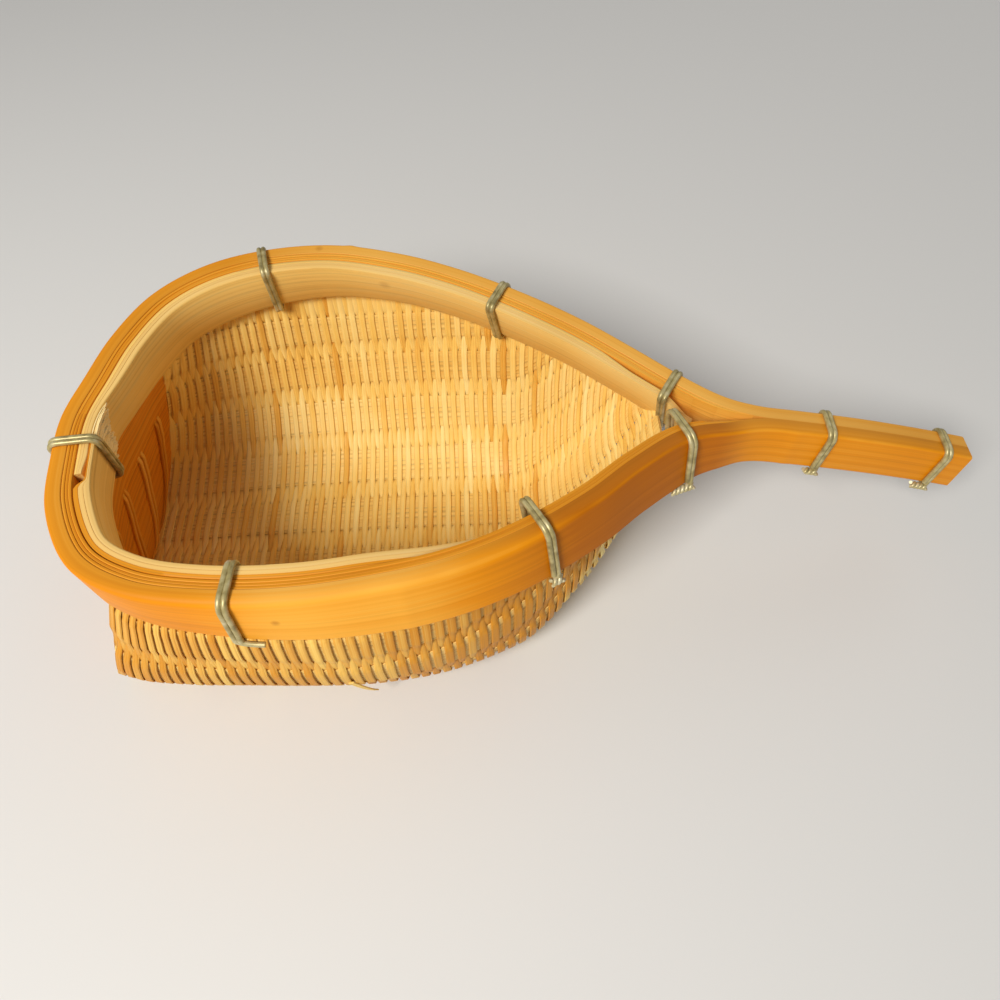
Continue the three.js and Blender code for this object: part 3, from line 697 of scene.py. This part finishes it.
# The split faces of the section are marked, its top is not; four of its faces close the slot
FACE_MARK = (1, 1, 1, 1, 1, 1, 1, 0, 0, 0, 0, 0, 0.4, 1, 1, 1, 1)
NEAR_SLOTS = [3 if k in (2, 3, 4, 5) else 0 for k in range(len(FACE_MARK))]
FAR_STOP, FAR_TIP, FAR_TIP_RUN, FAR_CUT, FAR_CUT_RUN = way_to(BOWL - 2.5, 1, 0), 0.4, 9.0, 6.0, 11.0
# Stations between which the strips draw back from the slot above the weave
NEAR_OPENS, FAR_OPENS = (140, 155), (156, 168)
NARROW_WAYS = [way_to(share * BOWL, -1, 0) for share in (NARROW_START, NARROW_END)]


def inner_profile(cut, fill, thick, tall):
    """Section of an inner strip: its upper part closes the slot above the weave, and its top has seams."""
    left, top = -fill, -cut
    points = [(0, -tall + 0.3), (0, FILL_LOW), (left, FILL_TOP), (left, top - 0.2), (left + 0.15, top)]
    for share in SEAMS:
        x = left + (thick - left) * share
        half = SEAM_HALF * thick / INN_T
        points += [(x - half, top), (x, top - SEAM_DEPTH), (x + half, top)]
    points += [(thick * 0.78, top), (thick * 0.93, top - 0.15), (thick, top - 0.55), (thick, -tall + 0.5)]
    points += [(thick * 0.8, -tall), (thick * 0.12, -tall)]
    return np.array(points)


def far_inner(way):
    """The far strip, thinned in the lap and cut down to a tip at the neck."""
    thick = FAR_TIP + (INN_T - FAR_TIP) * smooth(0, FAR_TIP_RUN, FAR_STOP - way)
    thick -= (INN_T - LAP_T) * (1 - smooth(LAP_END, LAP_END + LAP_THINS, way))
    thick *= 0.4 + 0.6 * smooth(0, LAP_TIP_RUN, way - LAP_START)
    tall = LAP_H + (INN_H - LAP_H) * smooth(LAP_END + 4, LAP_END + 40, way)
    cut = FAR_CUT * (1 - smooth(0, FAR_CUT_RUN, FAR_STOP - way))
    return inner_profile(cut, SLOT_FILL * (1 - smooth(*FAR_OPENS, rim_station(way))), thick, tall)


def near_shift(ways):
    """How far the near strip moves in to pass the far strip in the lap."""
    return LAP_SHIFT * smooth(LAP_START - LAP_RUN, LAP_START - 1, ways)


def near_inner(way):
    """The near strip, thinned in the lap and narrowing towards the neck."""
    cut = NARROWING * smooth(*NARROW_WAYS, way)
    before_lap = 1 - smooth(LAP_START - 5, LAP_START - 2, way)
    fill = (SLOT_FILL + near_shift(way)) * before_lap * (1 - smooth(*NEAR_OPENS, rim_station(way)))
    lapped = smooth(LAP_START - LAP_THINS, LAP_START + 2, way)
    return inner_profile(cut, fill, INN_T + (LAP_T - INN_T) * lapped, INN_H + (LAP_H - INN_H) * lapped)


def make_far_inner():
    ways = spaced(LAP_START, FAR_STOP, STRIP_STEP)
    strips = Maker()
    # Painted shade: the far strip is darker towards the closed end and paler from x 40 to 90.
    strips.sweep(hoop_rings(ways, INN_D, far_inner, INN_DROP, 0.12 * wander(ways, 31, 70.0)),
                 tint=0.5 + 0.1 * smooth(40, 90, rim_station(ways)) + 0.1 * wander(ways, 32, 90.0),
                 end_slot=1, mark=FACE_MARK)
    strips.done("hoop_inner_far", [SPLIT, CUT], "split", ["inner_hoop_far"])


# Torn end of the near strip: its length, rows of fibres from top to bottom, and plies in each row
TORN, TORN_ROWS, PLIES, TORN_ROOT = 9.0, 13, 6, 0.6


def add_torn_fibres(strips):
    """Plies of fibres that break off one after another, furthest along the top."""
    torn = np.random.default_rng(5)
    start = LAP_END - TORN - TORN_ROOT
    high = (LAP_H - 0.6) / TORN_ROWS
    f = np.linspace(0, 1, 9)
    for row in range(TORN_ROWS):
        reach = LAP_CENTRE + 3.4 + 13.5 * (1 - 0.6 * row / (TORN_ROWS - 1)) + torn.uniform(-0.9, 0.9)
        for ply in range(PLIES):
            level = -0.3 - (row + 0.5) * high + torn.uniform(-0.2, 0.2)
            broken = reach - 1.4 * ply * (0.45 + 0.55 * torn.uniform())
            end = max(broken, LAP_CENTRE + 2.6 + torn.uniform(0, 1.2))
            ways = start + (end - start) * f
            crimp = torn.uniform(0.05, 0.2) * np.sin(f * torn.uniform(9, 16) + torn.uniform(0, 6)) * f
            splay = torn.uniform(-0.05, 0.7) * f ** 3
            depth = INN_D + LAP_SHIFT + (ply + 0.5) * LAP_T / PLIES + splay + crimp
            rise = torn.uniform(-0.45, 0.45) * f ** 2
            half_thick = LAP_T / PLIES * 0.6 * (1 - 0.35 * f ** 4)
            half_tall = high * torn.uniform(0.42, 0.6) * (1 - 0.4 * f ** 4)
            middle = rim_top(rim_station(ways)) - INN_DROP + level + rise
            rings = []
            for w, d, z, a, b in zip(ways, depth, middle, half_thick, half_tall):
                offsets = np.array([(-a, -b), (-a, b), (a, b), (a, -b)])
                rings.append(np.column_stack([rim_at(w, d + offsets[:, 0]), z + offsets[:, 1]]))
            strips.sweep(rings, tint=torn.uniform(0.55, 1.0), slot=2)


def make_near_inner():
    ways = spaced(way_to(BOWL + INN_STOP, -1, 0), LAP_END - TORN, STRIP_STEP)
    rings = hoop_rings(ways, INN_D + near_shift(ways), near_inner, INN_DROP, 0.12 * wander(ways, 41, 70.0))
    strips = Maker()
    strips.sweep(rings, tint=0.52 + 0.1 * wander(ways, 42, 90.0), slot=NEAR_SLOTS, end_slot=1, mark=FACE_MARK)
    add_torn_fibres(strips)
    strips.done("hoop_inner_near", [SPLIT, CUT, TORN_FIBRE, LAYER], "split", ["inner_hoop_near"])


make_far_inner()
make_near_inner()

# Lengthwise ribs; one more on each side runs up behind the rim where the wall is tall enough
RIB_INDEX = np.arange(-1, RIBS + 1)
RIB_LINES = (RIB_INDEX - (RIBS - 1) / 2) * RIB_PITCH
RIB_TRIM, RIB_BOW, BOW_REACH = 0.4, 0.16, 110.0
RIB_STEP, RIB_PROBE, RIB_LEAST, RIB_MARGIN = 1.5, 0.5, 1.5, 1.0
RIB_EDGE = np.array([0.45, 0.95, 1, 1, 0.95, 0.45])


def rib_place(line, u):
    """Middle line and half width of a rib at u: the ribs bow apart a little in the middle of the bowl."""
    bow = RIB_BOW * math.sin(math.pi * min(max(u / WEAVE_END, 0.0), 1.0))
    out = (line / BOW_REACH) ** 2
    return line * (1 + bow * (1 - out)), (RIB_W / 2 - RIB_TRIM) * (1 + bow * (1 - 3 * out))


def rib_stations(line):
    """Stations along a rib with its inner and outer edge, up to where the rim cuts it off."""
    side = -1 if line < 0 else 1
    found = []
    for u in np.arange(WEAVE_START - 0.3, WEAVE_END + 4, RIB_STEP):
        middle, half = rib_place(line, u)
        inner = abs(middle) - half
        outer = min(abs(middle) + half, section(u)["top"][side] - RIB_MARGIN)
        if outer - inner >= RIB_LEAST:
            found.append((u, inner, outer))
        elif found:
            break
    return found


def make_ribs():
    vary = np.random.default_rng(17)
    pieces = {}
    for i, line in zip(RIB_INDEX, RIB_LINES):
        stations = rib_stations(line)
        if len(stations) < 3:
            continue
        rings = []
        for u, inner, outer in stations:
            across = np.linspace(inner, outer, 6) if line >= 0 else -np.linspace(outer, inner, 6)
            lengthwise = unit(bowl(u + RIB_PROBE, across) - bowl(u - RIB_PROBE, across))
            rings.append(flat_ring(bowl(u, across), lengthwise, RIB_EDGE[:, None] * RIB_T / 2))
        tone = 0.5 + 0.25 * vary.uniform(-1, 1) + 0.12 * wander([u for u, _, _ in stations], 50 + i, 55.0)
        owner = int(min(max(i, 0), RIBS - 1))
        pieces.setdefault(owner, Maker()).sweep(rings, tint=tone, end_slot=1)
    for owner, made in pieces.items():
        made.done(f"rib_flat_{owner + 1:02d}", [RIB, CUT], "rib", [f"rib_{owner + 1:02d}"])


make_ribs()

# Crosswise weavers, over one rib and under the next, packed evenly along the keel
WEAVER_PITCH, WEAVER_T, WEAVER_SAMPLE, WEAVER_PROBE = 1.69, 0.5, 0.95, 0.6
KEEL_U = np.linspace(WEAVE_START - 0.7, WEAVE_END + 3.4, 300)
KEEL_RUN = run_along([bowl(u, 0.0) for u in KEEL_U])
WEAVERS = round(KEEL_RUN[-1] / WEAVER_PITCH)
WEAVER_U = np.interp((np.arange(WEAVERS) + 0.5) / WEAVERS * KEEL_RUN[-1], KEEL_RUN, KEEL_U)
WEAVER_STEP = np.gradient(WEAVER_U)
WEAVER_BAND = (WEAVER_U - WEAVE_START) / (WEAVE_END - WEAVE_START) * BANDS
WEAVER_BAND = np.clip(WEAVER_BAND, 0, BANDS - 1).astype(int)
OVER = RIB_T / 2 + WEAVER_T / 2 + CLEAR
UNDER = OVER + 0.3
# Sections of a strip, as shares of its width and thickness: flat on a rib, rounder between ribs
FLAT = np.array([(-0.5, 0.0), (-0.43, 0.4), (-0.2, 0.5), (0.2, 0.5), (0.43, 0.4), (0.5, 0.0),
                 (0.42, -0.5), (-0.42, -0.5)])
LENS = np.array([(-0.5, -0.1), (-0.37, 0.3), (-0.13, 0.5), (0.13, 0.5), (0.37, 0.3), (0.5, -0.1),
                 (0.36, -0.5), (-0.36, -0.5)])
# Distance out from a rib's edge, with the height of a weaver over the rib there, and of one under it
DIVE = ((1.2, 0.16, 0.16), (0.0, 0.46, 0.55), (-1.6, OVER, UNDER))
# Widths as shares of the pitch: over a rib, under it, between ribs, and what the first weavers have more
WIDE_OVER, WIDE_UNDER, WIDE_BETWEEN, WIDE_FIRST = 1.24, 1.42, 1.3, 0.25
FIRST_STATIONS = (4, 16)
# Kinds of weaver: the limit of a draw between 0 and 1, and the mean and spread of the tone
WEAVER_KINDS = ((0.8, 0.52, 0.07), (0.93, 0.34, 0.07), (1.0, 0.7, 0.06))
NEAR_WALL_PAINTED_SHADE, NECK_WALL_PAINTED_SHADE = 0.36, 0.34
LOOSE_U, LOOSE_S, LOOSE_W = 77.0, -60.0, 1.9
LOOSE_BAND = int((LOOSE_U - WEAVE_START) / (WEAVE_END - WEAVE_START) * BANDS)


def along_bowl(u, s):
    return bowl(u + WEAVER_PROBE, s) - bowl(u - WEAVER_PROBE, s)


def weaver_height(k, s):
    """Height of a weaver off the bowl's surface, over and under the ribs by turns and level at the rim."""
    u = WEAVER_U[k]
    m = section(u)
    knots, heights = [-m["top"][-1], -m["rim"][-1] + 0.5], [0.0, 0.0]
    for i, line in zip(RIB_INDEX, RIB_LINES):
        side = -1 if line < 0 else 1
        middle, half = rib_place(line, u)
        if abs(middle) - half + 2.5 > m["rim"][side]:
            continue
        reach = m["rim"][side] - 0.6
        for out, over, under in DIVE:
            knots += np.clip((middle - half - out, middle + half + out), -reach, reach).tolist()
            heights += [over if (i + k) % 2 else -under] * 2
    knots += [m["rim"][1] - 0.5, m["top"][1]]
    heights += [0.0, 0.0]
    order = np.argsort(knots, kind="stable")
    return np.interp(s, np.array(knots)[order], np.array(heights)[order])


def add_weaver(made, k, vary):
    u = WEAVER_U[k]
    m = section(u)
    s = np.r_[np.arange(-m["top"][-1], m["top"][1] - 0.4, WEAVER_SAMPLE), m["top"][1]]
    h = weaver_height(k, s)
    path = bowl(u, s)
    across = along_bowl(u, s)
    t, w, n = lie(path, across)
    local = np.linalg.norm(across - (across * t).sum(1, keepdims=True) * t, axis=1) / (2 * WEAVER_PROBE)
    lifted = np.abs(h) / np.where(h > 0, OVER, UNDER)
    full = np.where(h > 0, WIDE_OVER, WIDE_UNDER) * lifted + WIDE_BETWEEN * (1 - lifted)
    full = full + WIDE_FIRST * (1 - smooth(*FIRST_STATIONS, u))
    wide = WEAVER_STEP[k] * np.clip(local, 0.5, 2.4) * full
    wide = wide * vary.uniform(0.95, 1.05) * (1 + 0.04 * wander(s, 100 + k, 16.0))
    beyond_rim = np.abs(s) - np.where(s < 0, m["rim"][-1], m["rim"][1])
    thick = WEAVER_T * (1 - 0.25 * smooth(-4, 0, beyond_rim))
    centre = path + n * h[:, None] + w * (0.1 * wander(s, 300 + k, 22.0))[:, None]
    profile = LENS + (FLAT - LENS) * smooth(0.3, 0.9, lifted)[:, None, None]
    kind = vary.uniform()
    mean, spread = next(tone for limit, *tone in WEAVER_KINDS if kind < limit)
    tone = vary.normal(mean, spread) + 0.14 * wander(s, 500 + k, 60.0)
    # Painted shade darkens the near wall, most towards the neck.
    wall_painted_shade = (NEAR_WALL_PAINTED_SHADE + NECK_WALL_PAINTED_SHADE * smooth(80, 125, u)) * smooth(28, 46, -s)
    made.sweep(narrow_rings(centre, w, n, profile, wide, thick), tint=np.clip(tone - wall_painted_shade, 0, 1))


def add_loose_end(made):
    """One loose end that sticks out of the near wall."""
    f = np.linspace(0, 1, 12)
    places = list(zip(LOOSE_U - 2 + 5.5 * f, LOOSE_S + 13 * f))
    path = np.array([bowl(u, s) for u, s in places])
    _, w, n = lie(path, np.array([along_bowl(u, s) for u, s in places]))
    centre = path - n * (UNDER + 0.9 * WEAVER_T + 1.6 * f ** 2)[:, None]
    made.sweep(narrow_rings(centre, w, n, FLAT, LOOSE_W * (1 - 0.5 * f ** 4), WEAVER_T))


def make_weavers():
    vary = np.random.default_rng(23)
    for band in range(BANDS):
        made = Maker()
        for k in np.flatnonzero(WEAVER_BAND == band):
            add_weaver(made, k, vary)
        if band == LOOSE_BAND:
            add_loose_end(made)
        made.done(f"weavers_{band + 1:02d}", [WEAVER], "weaver", [f"weaver_{band + 1:02d}"], crease=0.6)


make_weavers()

# Closed end wall: three wide rows, as shares of the wall's height, and pairs of slim strips through them
ROWS = ((0.0, 0.409), (0.411, 0.725), (0.727, 1.03))
ROW_TONES = (0.62, 0.45, 0.55)
END_T, END_PROBE, END_ACROSS = 0.8, 0.01, 0.998
END_EDGE = (0.5, 0.95, 1, 1, 0.95, 0.5)
SLIM_W, SLIM_T, SLIM_APART, UP_EASE, UP_EDGE = 1.7, 0.85, 0.95, 0.03, 0.75
END_HALF = (end_between(1.0, 1.0) - end_between(1.0, -1.0)) / 2


def make_end_row(row):
    a, b = ROWS[row]
    even = np.linspace(0, 1, len(END_EDGE))
    # The lowest row has more points at its foot, where the corner of the wall curves most.
    part = np.linspace(0, 1, 14) ** 2.4 if row == 0 else even
    shares = a + (b - a) * part
    half_thick = np.interp(part, even, END_EDGE)[:, None] * END_T / 2
    rings = []
    for q in np.linspace(-END_ACROSS, END_ACROSS, 70):
        before, after = max(q - END_PROBE, -1), min(q + END_PROBE, 1)
        lengthwise = unit(end_wall(shares, after) - end_wall(shares, before))
        rings.append(flat_ring(end_wall(shares, q), lengthwise, half_thick))
    made = Maker()
    made.sweep(rings, tint=ROW_TONES[row], end_slot=1)
    made.done(f"end_row_{row + 1}", [END, CUT], "end", [f"end_strip_{row + 1}"])


def upright_height(shares):
    """Height of an upright off the wall: over two rows, under the top one, then up between the hoops."""
    over = END_T / 2 + SLIM_T / 2 + CLEAR
    knots, heights = [-0.01], [0.0]
    for (a, b), up in zip(ROWS, (over, over, -over)):
        knots += [a + UP_EASE, (a + b) / 2, b - UP_EASE]
        heights += [up * UP_EDGE, up, up * UP_EDGE]
    wall_top = ROWS[-1][1]
    knots += [wall_top + 0.005, wall_top + 0.045]
    heights += [-over * UP_EDGE, 0.0]
    return np.interp(shares, knots, heights)


def make_uprights():
    vary = np.random.default_rng(29)
    shares = np.linspace(-0.005, 1 + (HOOP_H - TUCK) / END_DEPTH, 90)
    for c in range(UPRIGHTS):
        made = Maker()
        for j in (-1, 1):
            q = (c - (UPRIGHTS - 1) / 2) * UPRIGHT_PITCH + j * SLIM_APART / END_HALF
            q = q + vary.uniform(-0.012, 0.012) * (shares - 0.5)
            path = end_wall(shares, q)
            _, w, n = lie(path, end_wall(shares, q + END_PROBE) - end_wall(shares, q - END_PROBE))
            centre = path + n * upright_height(shares)[:, None]
            wide = SLIM_W * vary.uniform(0.92, 1.03)
            made.sweep(narrow_rings(centre, w, n, FLAT, wide, SLIM_T),
                       tint=np.clip(vary.normal(0.5, 0.15), 0, 1))
        made.done(f"uprights_{c + 1}", [SLIM], "weaver", [f"upright_{c + 1}"], crease=1.2)


for row in range(len(ROWS)):
    make_end_row(row)
make_uprights()

# Wire ties
WIRE_R, WIRE_PITCH, TURNS = 0.78, 1.3, 2
WIRE_OFF = 0.06 + WIRE_R
TIE_POINTS, TIE_STEPS, TIE_RADII = 190, 6, (1.9, 1.6, 0.8, 1.0)
# Where the wire's two ends lie: above the lower edge outside, and in from the outer face below
TIE_START, TIE_END = 1.5, 1.2
TWIST_R, TWIST_SWIRL, TWIST_PITCH, TWIST_POINTS = 0.7, 0.68, 3.0, 40
MID_U = [WEAVE_START + (j + 0.5) * (WEAVE_END - WEAVE_START) / BANDS for j in range(BANDS)]


def gap_station(wanted):
    """The gap between two bands of weavers that lies nearest to x."""
    options = [rim_x((a + b) / 2) for a, b in zip(MID_U, MID_U[1:])]
    return min(options, key=lambda x: abs(x - wanted))


def tube(maker, line, radius, sides, tint):
    """Sweeps a round wire along a line."""
    t = unit(np.gradient(line, axis=0))
    across = unit(np.cross(t[0], (0.31, 0.52, 0.8)))
    a = 2 * math.pi * np.arange(sides) / sides
    rings = []
    for p, d, r in zip(line, t, np.broadcast_to(radius, len(line))):
        across = unit(across - (across @ d) * d)
        other = np.cross(d, across)
        rings.append(p + r * (np.cos(a)[:, None] * across + np.sin(a)[:, None] * other))
    maker.sweep(rings, tint=tint)


def tie(label, way, depth_in, tail, seed, lift=0.0):
    """One wire wound twice round the rim; its ends hook aside, or are twisted along the lower edge."""
    foot = rim_at(way, 0)
    top = rim_top(foot[0])
    bottom = top - HOOP_H
    low = bottom + lift
    lean = lean_at(foot[0])
    ahead, behind = rim_at(way + 1, 0), rim_at(way - 1, 0)
    along = unit(np.array([*(ahead - behind), rim_top(ahead[0]) - rim_top(behind[0])]))
    inward = np.array([*(rim_at(way, 1) - foot), 0.0])
    to_handle = along if way > 0 else -along
    base = np.array([*foot, 0.0])

    def at(depth, z, move):
        depth, z, move = (np.asarray(a, float)[..., None] for a in (depth, z, move))
        return base + inward * (depth - lean * (top - z)) + np.array([0, 0, 1.0]) * z + along * move

    # Corners of one turn: depth, level, radius, the angle it starts at, and the sides its centre lies on
    top_out, top_in, low_in, low_out = TIE_RADII
    corners = ((0, top, max(soft_edge(way), top_out), math.pi, 1, -1),
               (depth_in, top, top_in, math.pi / 2, -1, -1),
               (depth_in, low, low_in, 0, -1, 1), (0, bottom, low_out, -math.pi / 2, 1, 1))
    flat = [(-WIRE_OFF, bottom + TIE_START)]
    # The last turn ends before its last corner.
    for depth, z, radius, start, side_d, side_z in (corners * TURNS)[:-1]:
        cx, cz = depth + side_d * radius, z + side_z * radius
        for k in range(TIE_STEPS + 1):
            a = start - math.pi / 2 * k / TIE_STEPS
            flat.append((cx + (radius + WIRE_OFF) * math.cos(a), cz + (radius + WIRE_OFF) * math.sin(a)))
    flat.append((TIE_END, bottom - WIRE_OFF))
    dense, run = evenly(np.array(flat), TIE_POINTS)
    shift = (run / run[-1] - 0.5) * TURNS * WIRE_PITCH + 0.06 * wander(run, seed, 24.0)
    if way < 0:
        shift = -shift
    line = at(dense[:, 0], dense[:, 1], shift)
    style, length, sign = tail
    if style == "hook":
        f = np.linspace(0, 1, 14)[1:]
        drop = bottom + TIE_START - 2.2 * np.sin(f * math.pi / 2)
        swing = at(-WIRE_OFF - 0.1 * f, drop, np.full_like(f, shift[0]))
        swing = swing + to_handle * (sign * length * (1 - np.cos(f * math.pi / 2)))[:, None]
        line = np.vstack([swing[::-1], line])
    maker = Maker()
    tube(maker, line, WIRE_R, 9, 0.5 + 0.1 * wander(np.arange(len(line)), seed + 7, 60.0))
    if style == "twist":
        f = np.linspace(0, 1, TWIST_POINTS)
        spin = f * length / TWIST_PITCH * 2 * math.pi
        for half in (0, math.pi):
            swirl = TWIST_SWIRL * np.cos(spin + half), TWIST_SWIRL * np.sin(spin + half)
            path = at(0.2 - WIRE_OFF + swirl[0], bottom - 1.1 + swirl[1], np.zeros(TWIST_POINTS))
            path = path + to_handle * (sign * (f * length - 1.2))[:, None]
            tube(maker, path, TWIST_R * np.linspace(1, 0.8, TWIST_POINTS), 8, 0.72)
    maker.done(f"wire_{label}", [WIRE], "wire", [f"tie_{label}"], crease=1.3)


# Each tie: its place as a share of the bowl or the handle, and its tail as style, length and direction
PLAIN = ("plain", 0.0, 1)
NEAR_TIES = ((0.29, ("hook", 7.0, 1)), (0.6935, ("twist", 3.6, -1)))
FAR_TIES = ((0.269, PLAIN), (0.661, PLAIN))
HANDLE_TIES = ((0.412, ("twist", 4.5, -1)), (0.894, ("twist", 6.5, -1)))
for side, name, ties in ((-1, "near", NEAR_TIES), (1, "far", FAR_TIES)):
    for k, (share, tail) in enumerate(ties):
        way = way_to(gap_station(share * BOWL), side, WEAVE_D, HOOP_H)
        tie(f"{name}_{k + 1}", way, RIM_D, tail, 60 + 3 * k + side)
tie("neck_near", way_to(NECK_TIE, -1, 0), RIM_D, ("twist", 8.0, -1), 69)
tie("neck_far", way_to(NECK_TIE, 1, 0), RIM_D, PLAIN, 71)
tie("closed_end", LAP_CENTRE, INN_D + LAP_SHIFT + LAP_T, PLAIN, 81, lift=1.6)
for k, (share, tail) in enumerate(HANDLE_TIES):
    tie(f"handle_{k + 1}", way_to(BOWL + share * (OVERALL - BOWL), -1, 0), 2 * HANDLE_HALF, tail, 90 + k)

# Plain pale floor, in metres
FLOOR_HALF, FLOOR_Z = 3, -0.0003
floor_mesh = bpy.data.meshes.new("floor")
floor_corners = [(x * FLOOR_HALF, y * FLOOR_HALF, FLOOR_Z) for x, y in ((-1, -1), (1, -1), (1, 1), (-1, 1))]
floor_mesh.from_pydata(floor_corners, [], [(0, 1, 2, 3)])
floor = put("floor", floor_mesh)
ground = Shading("pale_floor")
ground.feed(ground.shader, {"Base Color": (0.74, 0.735, 0.72, 1), "Roughness": 0.75})
floor_mesh.materials.append(ground.material)


# Light and camera, in metres
def facing(place, right, up, forward):
    """Placement of a lamp or camera that looks along forward."""
    rows = [(right[k], up[k], -forward[k], place[k]) for k in range(3)]
    return Matrix((*rows, (0, 0, 0, 1)))


def lamp(name, place, target, size, power, colour):
    data = bpy.data.lights.new(name, "AREA")
    data.shape = "SQUARE"
    data.size = size
    data.energy = power
    data.color = colour
    forward = unit(np.subtract(target, place))
    right = unit(np.cross(forward, (0, 0, 1)))
    put(name, data).matrix_world = facing(place, right, np.cross(right, forward), forward)


lamp("key", (-0.43, -0.52, 0.76), (-0.03, 0, 0.03), 0.34, 8.9, (1.0, 0.97, 0.92))
lamp("fill", (0.55, 0.6, 0.6), (0, 0, 0.03), 0.6, 1.0, (1.0, 0.98, 0.95))
world = bpy.data.worlds.new("studio")
world.use_nodes = True
backdrop = world.node_tree.nodes["Background"].inputs
backdrop["Color"].default_value = (1, 1, 1, 1)
backdrop["Strength"].default_value = 0.24
scene.world = world

# The photograph's viewpoint: place in the basket's own frame, angles, and focal length in pixels
CAMERA = np.array([118.083, -130.309, 229.924])
YAW, PITCH_DOWN, ROLL = (math.radians(a) for a in (1.461, 58.342, -0.942))
FOCAL_PIXELS, FRAME_PIXELS = 727.0, 1000.0
level = math.cos(PITCH_DOWN)
forward = np.array([math.sin(YAW) * level, math.cos(YAW) * level, -math.sin(PITCH_DOWN)])
right = np.array([math.cos(YAW), -math.sin(YAW), 0.0])
up = np.cross(right, forward)
right, up = (math.cos(ROLL) * right + math.sin(ROLL) * up, -math.sin(ROLL) * right + math.cos(ROLL) * up)
data = bpy.data.cameras.new("camera")
data.sensor_width = 36.0
data.lens = FOCAL_PIXELS / FRAME_PIXELS * data.sensor_width
data.clip_start = 0.005
scene.camera = put("camera", data)
scene.camera.matrix_world = facing(metres(CAMERA), right, up, forward)
scene.view_settings.view_transform = "Standard"
